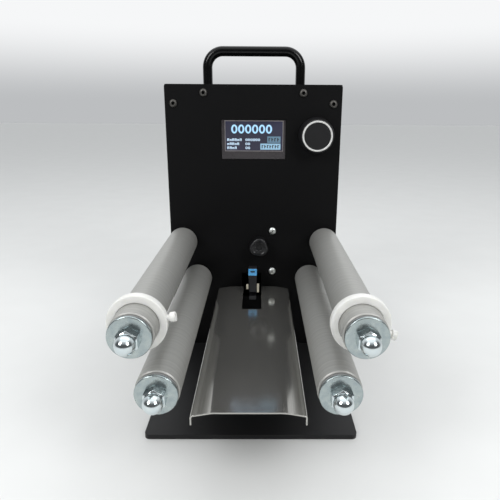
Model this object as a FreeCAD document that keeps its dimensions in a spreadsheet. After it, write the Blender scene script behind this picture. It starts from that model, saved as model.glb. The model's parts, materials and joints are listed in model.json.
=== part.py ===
import FreeCAD, Part
import os
import re

import Sketcher
from FreeCAD import Placement, Rotation, Vector

# A tabletop label counter. A strip of labels runs across it from left to right: over an upper
# roller, under a lower one, flat over a steel tray, and up again on the far side. A fork sensor
# at the back edge of the tray counts the labels, and a display on the front panel shows the total.
#
# Frame: millimetres. X is to the right, Y goes back from the front face of the panel and Z is
# up from the underside of the base plate. The origin is below the middle of the panel.

# Driving sizes, in millimetres and degrees. Each goes into one named cell of the sheet.
SIZES = {
    # frame: base plate, front panel and rear cover share one width
    "frame_wide": (164, "width of base, panel and cover"),
    "base_front": (152, "base plate ahead of the panel's front face"),
    "base_thick": (4, "base plate thickness"),
    "base_corner": (4, "base plate corner radius"),
    "panel_high": (261, "front panel height above the base plate"),
    "panel_thick": (3, "front panel thickness"),
    "panel_corner": (2.5, "front panel top corner radius"),
    "foot_wide": (140, "width of the panel's foot flange"),
    "foot_deep": (22, "reach of the panel's foot flange behind the panel"),
    "housing_deep": (89, "rear cover depth behind the panel"),
    "cover_wall": (1.5, "rear cover sheet thickness"),
    "cover_corner": (3, "rear cover outside corner radius"),
    "cover_foot_deep": (18, "reach of the cover's foot flange"),
    "cover_foot_wide": (120, "width of the cover's foot flange"),
    "tab_wide": (14, "cover tab behind the panel, from the side wall"),
    "tab_high": (12, "cover tab height"),
    # carrying handle
    "handle_bar": (9.5, "handle bar diameter"),
    "handle_half": (46, "handle leg, from the middle"),
    "handle_back": (45, "handle behind the panel's front face"),
    "handle_rise": (37, "handle top above the cover"),
    "handle_bend": (15.25, "handle bend radius at the bar's centreline"),
    "bracket_wide": (18, "handle bracket width"),
    "bracket_thick": (3, "handle bracket thickness"),
    "bracket_high": (15, "handle bracket leaf behind the panel"),
    "bracket_past": (10, "handle bracket past the handle's screw"),
    # screws
    "m_three": (3, "M3 thread diameter"),
    "m_four": (4, "M4 thread diameter"),
    "m_five": (5, "M5 thread diameter"),
    "thread_gap": (0.05, "radial gap around a thread or shank"),
    "hole_gap": (0.4, "clearance hole over its screw's diameter"),
    "drop_in_gap": (0.2, "opening over the size of a part that drops into it"),
    "past_nut": (1, "screw end past its nut or thread"),
    "drill_long": (200, "drilling tool length, past all it goes through"),
    "drill_short": (10, "drilling tool either side of the sheet it goes through"),
    "button_head": (7.6, "M4 button head diameter"),
    "button_top": (4.7, "M4 button head top diameter"),
    "button_high": (2.2, "M4 button head height"),
    "button_socket": (2.5, "M4 button head socket across flats"),
    "button_socket_deep": (1.2, "M4 button head socket depth"),
    "button_long": (8, "M4 button screw length"),
    "edge_screw_inset": (8, "outer panel screws, from the panel's side"),
    "edge_screw_drop": (17, "outer panel screws, below the panel's top"),
    "bracket_screw_drop": (7.5, "handle bracket screws, below the panel's top"),
    "sink_head": (7.6, "M4 countersunk head diameter"),
    "sink_deep": (2, "M4 countersunk head height"),
    "sink_below": (0.15, "countersunk heads above the base's underside"),
    "foot_screw_half": (50, "base screws, from the middle"),
    "foot_screw_back": (13, "front base screws behind the panel's front face"),
    "foot_screw_edge": (10, "rear base screws ahead of the cover's back"),
    "foot_nut_high": (3.2, "M4 nut height"),
    "foot_nut_flats": (7, "M4 nut across flats"),
    "handle_screw_head": (8.5, "M5 socket head diameter"),
    "handle_screw_long": (16, "M5 handle screw length"),
    # rollers
    "tube_outer": (28, "roller tube outside diameter"),
    "tube_inner": (22, "roller tube bore"),
    "tube_long": (206, "roller tube length"),
    "tube_chamfer": (0.8, "roller tube end chamfer"),
    "upper_inset": (12.5, "upper roller axis, from the panel's side"),
    "upper_axis_z": (117, "upper roller axis height"),
    "lower_inset": (26, "lower roller axis, from the panel's side"),
    "lower_axis_z": (79, "lower roller axis height"),
    "shaft_outer": (8, "roller shaft diameter, M8 at both ends"),
    "shaft_collar": (12, "roller shaft shoulder diameter"),
    "shaft_collar_thick": (1.5, "roller shaft shoulder thickness"),
    "end_gap": (0.3, "gap between the shaft shoulder and the turning end"),
    "running_gap": (0.05, "radial gap of a running fit"),
    "bush_flange": (25.6, "roller end bush flange diameter"),
    "bush_flange_thick": (2, "roller end bush flange thickness"),
    "bush_spigot_long": (10, "roller end bush inside the tube"),
    "bush_bore": (11, "roller end bush bore behind the bearing"),
    "bearing_outer": (16, "ball bearing outside diameter"),
    "bearing_wide": (5, "ball bearing width"),
    "washer_outer": (27, "large M8 washer diameter"),
    "washer_thick": (2, "large M8 washer thickness"),
    "washer_gap": (0.7, "gap between the turning end and the large washer"),
    "nut_flats": (13, "M8 nut across flats"),
    "nut_high": (6.5, "M8 nut height, and hexagon height of the cap nut"),
    "cap_dome": (12.5, "cap nut dome diameter"),
    "cap_high": (15, "cap nut height"),
    "cap_bore_deep": (11, "cap nut thread depth"),
    "back_washer_outer": (16, "M8 washer behind the panel"),
    "back_washer_thick": (1.6, "M8 washer behind the panel, thickness"),
    # guide collars on the upper rollers
    "collar_outer": (38, "guide collar diameter"),
    "collar_thick": (6, "guide collar thickness"),
    "collar_from_end": (13.8, "guide collar front face behind the tube's front end"),
    "thumb_head": (6.3, "thumb screw head diameter"),
    "thumb_head_long": (3.5, "thumb screw head length"),
    "thumb_neck": (2, "thumb screw neck outside the collar"),
    "thumb_tip_gap": (0.3, "thumb screw tip off the tube, just backed off"),
    "left_thumb_tilt": (10, "left thumb screw, degrees above +X"),
    "right_thumb_tilt": (-21, "right thumb screw, degrees above +X"),
    # display
    "display_wide": (61, "display opening width"),
    "display_high": (37, "display opening height"),
    "display_drop": (49.5, "display centre below the panel's top"),
    "glass_gap": (0.25, "display glass to the opening's edge"),
    "glass_thick": (2, "display glass thickness"),
    "board_margin": (5.5, "display board past the opening, each side"),
    "board_edge": (3.6, "display board past the opening, above and below"),
    "board_thick": (1.6, "circuit board thickness"),
    "board_seat": (0.4, "display board behind the panel's back face"),
    "stud_long": (5, "display stud length behind the panel"),
    "stud_inset": (2.6, "display studs from the board's edges"),
    "stud_nut_flats": (5.5, "M3 nut across flats"),
    "stud_nut_high": (2.4, "M3 nut height"),
    "header_wide": (20, "display board's connector width"),
    "header_high": (2.5, "display board's connector height"),
    "header_deep": (8, "display board's connector depth"),
    "header_rise": (14, "display board's connector above the board's middle"),
    # dial on the rotary encoder
    "dial_inset": (23, "dial axis, from the panel's side"),
    "dial_drop": (45.3, "dial axis below the panel's top"),
    "dial_skirt": (33.6, "dial diameter at the panel"),
    "dial_face": (29.6, "dial diameter at its face"),
    "dial_high": (13, "dial face ahead of the panel"),
    "dial_lift": (1, "dial skirt off the panel"),
    "dial_travel": (0.6, "dial push travel"),
    "dial_web": (2.5, "dial thickness in front of the encoder's shaft"),
    "dial_rounding": (1, "dial face edge rounding"),
    "skirt_high": (1.6, "dial skirt rim height"),
    "dial_hollow": (20, "hollow under the dial, diameter"),
    "dial_hollow_deep": (5.5, "hollow under the dial, depth"),
    "ring_outer": (28, "bright ring outside diameter"),
    "ring_wide": (1.7, "bright ring width"),
    "ring_deep": (0.8, "bright ring depth in the dial"),
    "ring_proud": (0.15, "bright ring proud of the dial's face"),
    "encoder_side": (14, "encoder body side"),
    "encoder_deep": (9, "encoder body depth"),
    "encoder_neck": (9, "encoder threaded neck diameter"),
    "encoder_neck_long": (4.4, "encoder neck ahead of the panel"),
    "encoder_shaft": (6, "encoder shaft diameter"),
    "encoder_wheel": (10, "encoder contact wheel diameter"),
    "encoder_wheel_thick": (1.5, "encoder contact wheel thickness"),
    "encoder_floor": (2, "encoder body behind its shaft"),
    "wheel_room": (1, "encoder wheel ahead of the shaft's end"),
    "wheel_gap": (0.3, "gap round the encoder's wheel"),
    "encoder_nut_flats": (12, "encoder nut across flats"),
    "encoder_nut_high": (2, "encoder nut height"),
    # sensor adjuster: knob, lead screw, carriage
    "knob_x": (5.5, "adjusting knob axis, from the middle"),
    "knob_z": (113, "adjusting knob axis height"),
    "knob_outer": (18.5, "adjusting knob diameter"),
    "knob_long": (12, "adjusting knob length"),
    "knob_lift": (1.5, "adjusting knob off the panel"),
    "knob_socket": (6, "recess in the knob's face, across flats"),
    "knob_socket_deep": (3, "recess in the knob's face, depth"),
    "screw_outer": (8, "lead screw diameter, 8 mm lead"),
    "bush_outer": (12, "lead screw bush diameter"),
    "bush_rim": (15, "lead screw bush rim diameter"),
    "bush_rim_thick": (1, "lead screw bush rim thickness"),
    "stop_outer": (14, "lead screw stop shoulder diameter"),
    "stop_long": (6, "lead screw stop shoulder length"),
    "frame_sheet": (2, "sensor frame sheet thickness"),
    "frame_right": (14, "sensor frame side plate, from the middle"),
    "frame_flange": (12, "sensor frame flange past the side plate"),
    "frame_left": (18, "sensor frame left edge, from the middle"),
    "frame_low": (78, "sensor frame flange, lowest height"),
    "frame_floor": (103.5, "sensor frame plates, lowest height"),
    "frame_top": (134, "sensor frame top height"),
    "frame_long": (71, "sensor frame from the panel's back to its rear plate"),
    "frame_screw_x": (18.8, "sensor frame screws, from the middle"),
    "frame_screw_high": (127, "upper sensor frame screw height"),
    "frame_screw_low": (85, "lower sensor frame screw height"),
    "pan_head": (7, "M3 wide pan head diameter"),
    "pan_top": (5, "M3 wide pan head top diameter"),
    "pan_high": (2.2, "M3 pan head height"),
    "cross_long": (3.2, "cross recess length"),
    "cross_wide": (0.8, "cross recess width"),
    "cross_deep": (1.2, "cross recess depth"),
    "pan_long": (8, "M3 pan head screw length"),
    "rod_outer": (5, "guide rod diameter"),
    "rod_x": (11, "guide rods left of the middle"),
    "rod_high_z": (126, "upper guide rod height"),
    "rod_low_z": (109.5, "lower guide rod height"),
    "carriage_back": (46, "carriage front face behind the panel's front face"),
    "carriage_deep": (16, "carriage length"),
    "carriage_left": (16, "carriage left side, from the middle"),
    "carriage_right": (12.5, "carriage right side, from the middle"),
    "carriage_floor": (101, "carriage lowest height"),
    "carriage_top": (131, "carriage top height"),
    "lead_nut_outer": (12, "lead nut barrel diameter"),
    "lead_nut_flange": (16, "lead nut flange diameter"),
    "lead_nut_flange_thick": (3.5, "lead nut flange thickness"),
    # fork sensor
    "fork_x": (-0.6, "fork sensor middle, from the middle"),
    "fork_wide": (8.2, "fork sensor width"),
    "fork_front": (20, "fork sensor ahead of the panel"),
    "fork_top": (86.9, "fork head shoulder height, under the blue cap"),
    "fork_head_long": (11, "fork head length, from its front"),
    "fork_neck_top": (79.5, "fork top height where it goes through the panel"),
    "fork_mouth_top": (69.5, "fork mouth upper face height"),
    "fork_mouth_low": (65.1, "fork mouth lower face height"),
    "fork_floor": (61.6, "fork lower arm underside height"),
    "fork_throat": (64, "fork mouth depth from the fork's front"),
    "fork_cap_high": (6.1, "blue cap height"),
    "fork_cap_deep": (2.5, "blue cap depth"),
    "fork_crown_rise": (0.4, "fork head behind the cap, above the cap's top"),
    "cap_slot_wide": (4.2, "slot in the blue cap, width"),
    "cap_slot_high": (1.6, "slot in the blue cap, height"),
    "cap_slot_deep": (1.2, "slot in the blue cap, depth"),
    "cap_slot_rise": (3, "slot in the blue cap, above the cap's foot"),
    "clip_wide": (2.2, "sensor clip width"),
    "clip_deep": (3, "sensor clip depth"),
    "clip_back": (1, "sensor clips behind the fork's front"),
    "left_clip_low": (72.2, "left sensor clip, lowest height"),
    "left_clip_high": (4.7, "left sensor clip height"),
    "right_clip_low": (68.9, "right sensor clip, lowest height"),
    "right_clip_high": (8.5, "right sensor clip height"),
    "arm_thick": (6, "arm between carriage and fork, thickness"),
    "window_left": (11.8, "panel window left edge, from the middle"),
    "window_right": (7.6, "panel window right edge, from the middle"),
    "window_top": (82.5, "panel window top height"),
    "window_low": (57.5, "panel window lowest height"),
    # web tray
    "tray_sheet": (1, "tray sheet thickness"),
    "tray_top": (68.5, "tray flat height"),
    "tray_gap": (6, "tray edge to the lower roller's side"),
    "tray_wing": (12.5, "tray sloping wing width"),
    "tray_fall": (2.4, "tray wing drop"),
    "tray_lip": (6.5, "tray edge flange height"),
    "tray_bend": (1.2, "tray bend outside radius"),
    "tray_back_gap": (0.6, "tray off the panel"),
    "tray_overhang": (2, "tray past the large washers"),
    "slot_left": (10, "tray slot left edge, from the middle"),
    "slot_right": (8, "tray slot right edge, from the middle"),
    "slot_long": (59, "tray slot end ahead of the panel"),
    "tray_bar_wide": (8, "tray bracket width"),
    "tray_bar_long": (120, "tray bracket length"),
    "tray_bar_thick": (3, "tray bracket thickness"),
    "tray_bar_inset": (2, "tray bracket inside the tray's flat middle"),
    "tray_screw_drop": (4.5, "upper tray screws below the panel window"),
    "tray_screw_pitch": (7.5, "lower tray screws below the upper ones"),
    "tray_leaf_edge": (4, "tray bracket leaf below the lower tray screws"),
    "tray_screw_head": (7, "tray screw head diameter"),
    "tray_screw_head_high": (2.6, "tray screw head height"),
    # electrics on the cover's back and on the base
    "socket_z": (44, "rear sockets and switch height"),
    "switch_x": (48, "power switch, from the middle"),
    "switch_wide": (19, "power switch body width"),
    "switch_high": (13, "power switch body height"),
    "switch_deep": (14, "power switch body depth"),
    "switch_rim": (1.6, "power switch bezel thickness and overhang"),
    "switch_wall": (1.4, "power switch body wall"),
    "rocker_gap": (0.6, "gap round the rocker"),
    "rocker_low": (1, "rocker's inner face behind the cover's back"),
    "rocker_shoulder": (1.5, "rocker's ends past the cover's back"),
    "rocker_ridge": (3.4, "rocker's middle past the cover's back"),
    "rocker_tilt": (9, "power switch rocker tilt, degrees"),
    "power_x": (16, "power socket, from the middle"),
    "power_outer": (11, "power socket barrel diameter"),
    "power_bore": (5.6, "power socket bore"),
    "signal_x": (20, "signal socket left of the middle"),
    "signal_outer": (12, "signal socket barrel diameter"),
    "signal_bore": (9, "signal socket bore"),
    "socket_deep": (14, "socket barrel behind the wall"),
    "socket_proud": (4, "socket barrel past the wall"),
    "socket_rim": (3, "socket rim overhang"),
    "socket_bore_deep": (8, "socket bore inside the wall's outer face"),
    "main_board_wide": (96, "controller board width"),
    "main_board_deep": (46, "controller board depth"),
    "main_board_front": (28, "controller board behind the panel's front face"),
    "main_board_lift": (10, "controller board above the base plate"),
    "chip_side": (18, "controller chip side"),
    "chip_high": (2, "controller chip height"),
    "chip_back": (14, "controller chip from the board's front edge"),
    "part_edge": (8, "terminal block depth, and regulator from the board's edge"),
    "part_gap": (2, "terminal block from the board's rear edge"),
    "regulator_wide": (16, "voltage regulator width"),
    "regulator_deep": (12, "voltage regulator depth"),
    "regulator_high": (9, "voltage regulator height"),
    "terminals_wide": (25, "terminal block width"),
    "terminals_high": (10, "terminal block height"),
    "pillar_outer": (6, "controller board pillar diameter"),
    "pillar_inset": (5, "controller board pillar from the board's edges"),
}

doc = FreeCAD.newDocument("label_counter")
sheet = doc.addObject("Spreadsheet::Sheet", "Sizes")
for row, (alias, (number, meaning)) in enumerate(SIZES.items(), start=1):
    sheet.set(f"A{row}", meaning)
    sheet.set(f"B{row}", str(number))
    sheet.setAlias(f"B{row}", alias)
doc.recompute()

NODES = {}
BACKWARD = Rotation(Vector(1, 0, 0), -90)  # stands a cylinder along +Y
RIGHTWARD = Rotation(Vector(0, 1, 0), 90)  # lays a cylinder along +X

# Places worked out from the driving sizes.
HALF = "frame_wide / 2"
PANEL_TOP = "(base_thick + panel_high)"
COVER_BACK = "(panel_thick + housing_deep)"
TUBE_BACK = "(shaft_collar_thick + end_gap + bush_flange_thick)"
TUBE_FRONT = f"({TUBE_BACK} + tube_long)"
WASHER_BACK = f"({TUBE_FRONT} + bush_flange_thick + washer_gap)"
WASHER_FRONT = f"({WASHER_BACK} + washer_thick)"
UPPER_X = f"({HALF} - upper_inset)"
LOWER_X = f"({HALF} - lower_inset)"
DIAL_X = f"({HALF} - dial_inset)"
DIAL_Z = f"({PANEL_TOP} - dial_drop)"
DISPLAY_Z = f"({PANEL_TOP} - display_drop)"
TRAY_EDGE = f"({LOWER_X} - tube_outer / 2 - tray_gap)"
TRAY_FLAT = f"({TRAY_EDGE} - tray_sheet - tray_wing)"
TRAY_FRONT = f"({WASHER_FRONT} + tray_overhang)"
ROLLERS = {
    "upper_left": (f"-{UPPER_X}", "upper_axis_z"),
    "upper_right": (UPPER_X, "upper_axis_z"),
    "lower_left": (f"-{LOWER_X}", "lower_axis_z"),
    "lower_right": (LOWER_X, "lower_axis_z"),
}
SIDES = {"left": "-1", "right": "1"}


def in_sheet(formula):
    """Point every alias in a formula at its cell."""
    return re.sub(
        r"[a-z_]+",
        lambda word: f"Sizes.{word.group()}" if word.group() in SIZES else word.group(),
        formula,
    )


def bind(thing, **formulas):
    """Bind properties of an object to formulas of the sheet."""
    for name, formula in formulas.items():
        thing.setExpression(name, in_sheet(formula))
    return thing


def put(thing, x="0", y="0", z="0", turn=None):
    """Place an object by formulas, turned first if asked."""
    thing.Placement = Placement(Vector(), turn or Rotation())
    for axis, formula in zip("xyz", (x, y, z)):
        thing.setExpression(f"Placement.Base.{axis}", in_sheet(formula))
    return thing


def node(label, thing):
    """Give a finished sub-part its label and keep it for the export."""
    thing.Label = label
    NODES[label] = thing
    return thing


# ---- solids from primitives ------------------------------------------------------------------


def box(name, low, size):
    """A box from its lowest corner and its sizes."""
    thing = doc.addObject("Part::Box", name)
    bind(thing, Length=size[0], Width=size[1], Height=size[2])
    return put(thing, *low)


def rod(name, diameter, length, at, turn=BACKWARD):
    """A cylinder that starts at a point, along +Y unless turned."""
    thing = doc.addObject("Part::Cylinder", name)
    bind(thing, Radius=f"({diameter}) / 2", Height=length)
    return put(thing, *at, turn=turn)


def cone(name, start, end, length, at, turn=BACKWARD):
    """A cone between two diameters, along +Y unless turned."""
    thing = doc.addObject("Part::Cone", name)
    bind(thing, Radius1=f"({start}) / 2", Radius2=f"({end}) / 2", Height=length)
    return put(thing, *at, turn=turn)


def hexagon(name, flats, length, at, turn=BACKWARD):
    """A hexagonal bar from its width across flats, along +Y unless turned."""
    thing = doc.addObject("Part::Prism", name)
    thing.Polygon = 6
    bind(thing, Circumradius=f"({flats}) / 2 / cos(30)", Height=length)
    return put(thing, *at, turn=turn)


def joined(name, pieces):
    """One solid from pieces that overlap or touch."""
    thing = doc.addObject("Part::MultiFuse", name)
    thing.Shapes = pieces
    thing.Refine = True
    return thing


def cut(name, piece, tools):
    """A piece with one or more tools cut away."""
    tool = tools[0]
    if len(tools) > 1:
        tool = joined(f"{name}_tools", tools)
    thing = doc.addObject("Part::Cut", name)
    thing.Base = piece
    thing.Tool = tool
    return thing


def group(name, pieces):
    """Separate solids that share one node."""
    thing = doc.addObject("Part::Compound", name)
    thing.Links = pieces
    return thing


# ---- solids from sketches --------------------------------------------------------------------


def origin_plane(body, role):
    """A body's own origin plane, such as XZ_Plane."""
    return next(item for item in body.Origin.OriginFeatures if item.Role == role)


def hold(sketch, item, corner, place):
    """Hold a sketch point at formulas for its two coordinates."""
    for kind, formula in zip(("DistanceX", "DistanceY"), place):
        index = sketch.addConstraint(Sketcher.Constraint(kind, -1, 1, item, corner, 1.0))
        sketch.setExpression(f"Constraints[{index}]", in_sheet(formula))


def draw_outline(sketch, corners):
    """A closed outline of straight edges through corners given as formulas."""
    count = len(corners)
    first = sketch.GeometryCount
    for index in range(count):
        start = Vector(index, index * index, 0)
        following = (index + 1) % count
        sketch.addGeometry(Part.LineSegment(start, Vector(following, following**2, 0)))
    for index, corner in enumerate(corners):
        edge = first + index
        before = first + (index - 1) % count
        sketch.addConstraint(Sketcher.Constraint("Coincident", before, 2, edge, 1))
        hold(sketch, edge, 1, corner)


def draw_circle(sketch, place, diameter):
    """A circle round a point given as formulas."""
    circle = sketch.addGeometry(Part.Circle(Vector(1, 1, 0), Vector(0, 0, 1), 1))
    hold(sketch, circle, 3, place)
    index = sketch.addConstraint(Sketcher.Constraint("Radius", circle, 1.0))
    sketch.setExpression(f"Constraints[{index}]", in_sheet(f"({diameter}) / 2"))


def sketch_on(body, role, name, outlines=(), circles=()):
    """A sketch on one of the body's origin planes."""
    sketch = body.newObject("Sketcher::SketchObject", name)
    sketch.AttachmentSupport = (origin_plane(body, role), [""])
    sketch.MapMode = "FlatFace"
    for corners in outlines:
        draw_outline(sketch, corners)
    for place, diameter in circles:
        draw_circle(sketch, place, diameter)
    return sketch


def rectangle(left, low, right, high):
    """The four corners of an upright rectangle."""
    return [(left, low), (right, low), (right, high), (left, high)]


def pad(body, role, name, corners, length, away=False):
    """Pad an outline along the plane's normal, or away from it."""
    feature = body.newObject("PartDesign::Pad", name)
    feature.Profile = sketch_on(body, role, f"{name}_sketch", [corners])
    feature.Reversed = away
    return bind(feature, Length=length)


def pierce(body, role, name, outlines=(), circles=()):
    """Cut outlines and circles right through a body, both ways from the plane."""
    feature = body.newObject("PartDesign::Pocket", name)
    feature.Profile = sketch_on(body, role, f"{name}_sketch", outlines, circles)
    feature.Type = "ThroughAll"
    feature.Midplane = True
    return feature


def turned(name, outline):
    """A body turned about its own Y axis from (radius, y) corners."""
    body = doc.addObject("PartDesign::Body", name)
    feature = body.newObject("PartDesign::Revolution", f"{name}_turn")
    feature.Profile = sketch_on(body, "XY_Plane", f"{name}_profile", [outline])
    feature.ReferenceAxis = (feature.Profile[0], ["V_Axis"])
    feature.Angle = 360
    return body


def tube(name, outer, inner, back, front):
    """A plain ring turned about its own Y axis."""
    radii = (f"({inner}) / 2", f"({outer}) / 2")
    return turned(name, rectangle(radii[0], back, radii[1], front))


def round_edges(body, name, radius, chosen):
    """Fillet the edges of the body's last feature that a test chooses."""
    doc.recompute()
    last = body.Tip
    edges = [f"Edge{i}" for i, edge in enumerate(last.Shape.Edges, 1) if chosen(edge)]
    feature = body.newObject("PartDesign::Fillet", name)
    feature.Base = (last, edges)
    return bind(feature, Radius=radius)


def upright(edge):
    """An edge that runs straight up."""
    bounds = edge.BoundBox
    return bounds.ZLength > 1e-3 and bounds.XLength < 1e-3 and bounds.YLength < 1e-3


def fore_and_aft(edge):
    """An edge that runs straight along Y."""
    bounds = edge.BoundBox
    return bounds.YLength > 1e-3 and bounds.XLength < 1e-3 and bounds.ZLength < 1e-3


# ---- base plate ------------------------------------------------------------------------------

FOOT_SCREWS = [
    (f"{sign} * foot_screw_half", y)
    for sign in SIDES.values()
    for y in ("foot_screw_back", f"{COVER_BACK} - foot_screw_edge")
]
SINK_HOLE = "sink_head + hole_gap"
NUT_BORE = "m_four + 2 * thread_gap"


def base_plate():
    """Steel plate with rounded corners and four countersunk holes from below."""
    body = doc.addObject("PartDesign::Body", "base_body")
    corners = rectangle(f"-{HALF}", "-base_front", HALF, COVER_BACK)
    pad(body, "XY_Plane", "base_pad", corners, "base_thick")
    round_edges(body, "base_corners", "base_corner", upright)
    holes = [(place, "m_four + hole_gap") for place in FOOT_SCREWS]
    pierce(body, "XY_Plane", "base_holes", circles=holes)
    sinks = [
        cone(f"sink_{i}", SINK_HOLE, "m_four + hole_gap", "sink_deep + 2 * sink_below",
             (*place, "0"), Rotation())
        for i, place in enumerate(FOOT_SCREWS)
    ]
    node("base_plate", cut("base_sunk", body, sinks))


def base_screws():
    """Countersunk screws up through the base, each with a nut on the flange above."""
    flange_tops = {"foot_screw_back": "base_thick + panel_thick"}
    screws = []
    nuts = []
    for i, (x, y) in enumerate(FOOT_SCREWS):
        flange = flange_tops.get(y, "base_thick + cover_wall")
        length = f"{flange} + foot_nut_high + past_nut"
        at = (x, y, "sink_below")
        head = cone(f"foot_head_{i}", "sink_head", "m_four", "sink_deep", at, Rotation())
        shank = rod(f"foot_shank_{i}", "m_four", length, at, Rotation())
        screws.append(joined(f"foot_screw_{i}", [head, shank]))
        blank = hexagon(
            f"foot_nut_blank_{i}", "foot_nut_flats", "foot_nut_high", (x, y, flange), Rotation()
        )
        bore = rod(f"foot_nut_bore_{i}", NUT_BORE, length, (x, y, "0"), Rotation())
        nuts.append(cut(f"foot_nut_{i}", blank, [bore]))
    node("base_screws", group("foot_screws", screws))
    node("base_nuts", group("foot_nuts", nuts))


# ---- front panel -----------------------------------------------------------------------------

EDGE_SCREWS = [
    (f"{sign} * ({HALF} - edge_screw_inset)", f"{PANEL_TOP} - edge_screw_drop")
    for sign in SIDES.values()
]
BRACKET_SCREWS = [
    (f"{sign} * handle_half", f"{PANEL_TOP} - bracket_screw_drop") for sign in SIDES.values()
]
FRAME_SCREWS = [("frame_screw_x", "frame_screw_high"), ("frame_screw_x", "frame_screw_low")]
TRAY_BARS = {
    "left": f"-{TRAY_FLAT} + tray_bar_inset",
    "right": f"{TRAY_FLAT} - tray_bar_inset - tray_bar_wide",
}
TRAY_UNDER = "(tray_top - tray_sheet)"
TRAY_SCREW_HIGH = "(window_low - tray_screw_drop)"
TRAY_SCREW_LOW = f"({TRAY_SCREW_HIGH} - tray_screw_pitch)"
TRAY_LEAF_FOOT = f"({TRAY_SCREW_LOW} - tray_leaf_edge)"
TRAY_SCREWS = [
    (f"{left} + tray_bar_wide / 2", height)
    for left in TRAY_BARS.values()
    for height in (TRAY_SCREW_LOW, TRAY_SCREW_HIGH)
]
BOARD_STUDS = [
    (
        f"{side} * (display_wide / 2 + board_margin - stud_inset)",
        f"{DISPLAY_Z} + {level} * (display_high / 2 + board_edge - stud_inset)",
    )
    for side in ("-1", "1")
    for level in ("-1", "1")
]


def front_panel():
    """Bent steel sheet: an upright panel with every opening, and a foot flange."""
    body = doc.addObject("PartDesign::Body", "panel_body")
    face = rectangle(f"-{HALF}", "base_thick", HALF, PANEL_TOP)
    pad(body, "XZ_Plane", "panel_pad", face, "panel_thick", away=True)
    doc.recompute()
    top = float(sheet.base_thick + sheet.panel_high)

    def top_corner(edge):
        return fore_and_aft(edge) and edge.BoundBox.ZMin > top - 1

    round_edges(body, "panel_corners", "panel_corner", top_corner)
    foot_high = "base_thick + panel_thick"
    foot = rectangle("-foot_wide / 2", "base_thick", "foot_wide / 2", foot_high)
    pad(body, "XZ_Plane", "panel_foot", foot, "foot_deep", away=True)
    shafts = [(place, "shaft_outer + 2 * thread_gap") for place in ROLLERS.values()]
    screws = [(place, "m_four + hole_gap") for place in EDGE_SCREWS + BRACKET_SCREWS + TRAY_SCREWS]
    frame_holes = [(place, "m_three + hole_gap") for place in FRAME_SCREWS]
    controls = [
        ((DIAL_X, DIAL_Z), "encoder_neck + drop_in_gap"),
        (("knob_x", "knob_z"), "bush_outer"),
    ]
    window = rectangle("-window_left", "window_low", "window_right", "window_top")
    display = rectangle(
        "-display_wide / 2",
        f"{DISPLAY_Z} - display_high / 2",
        "display_wide / 2",
        f"{DISPLAY_Z} + display_high / 2",
    )
    circles = shafts + screws + frame_holes + controls
    pierce(body, "XZ_Plane", "panel_openings", [window, display], circles)
    foot_holes = [
        (place, "m_four + hole_gap") for place in FOOT_SCREWS if place[1] == "foot_screw_back"
    ]
    pierce(body, "XY_Plane", "panel_foot_holes", circles=foot_holes)
    node("front_panel", body)


def button_screw(name, place, length):
    """Button-head socket screw, head on the panel's front face."""
    x, z = place
    head_turn = Rotation(Vector(1, 0, 0), 90)
    head = cone(f"{name}_head", "button_head", "button_top", "button_high",
                (x, "0", z), head_turn)
    shank = rod(f"{name}_shank", "m_four", length, (x, "0", z))
    whole = joined(f"{name}_whole", [head, shank])
    socket = hexagon(f"{name}_socket", "button_socket", "2 * button_socket_deep",
                     (x, "-button_high - button_socket_deep", z))
    return cut(name, whole, [socket])


def panel_screws():
    """Two screws into the cover's tabs and two into the handle brackets."""
    places = EDGE_SCREWS + BRACKET_SCREWS
    screws = [button_screw(f"panel_screw_{i}", place, "button_long")
              for i, place in enumerate(places)]
    node("panel_screws", group("panel_screw_set", screws))


# ---- rear cover and handle -------------------------------------------------------------------

SOCKET_HOLES = {
    "power": ("power_x", "power_outer"),
    "signal": ("-signal_x", "signal_outer"),
}


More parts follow.
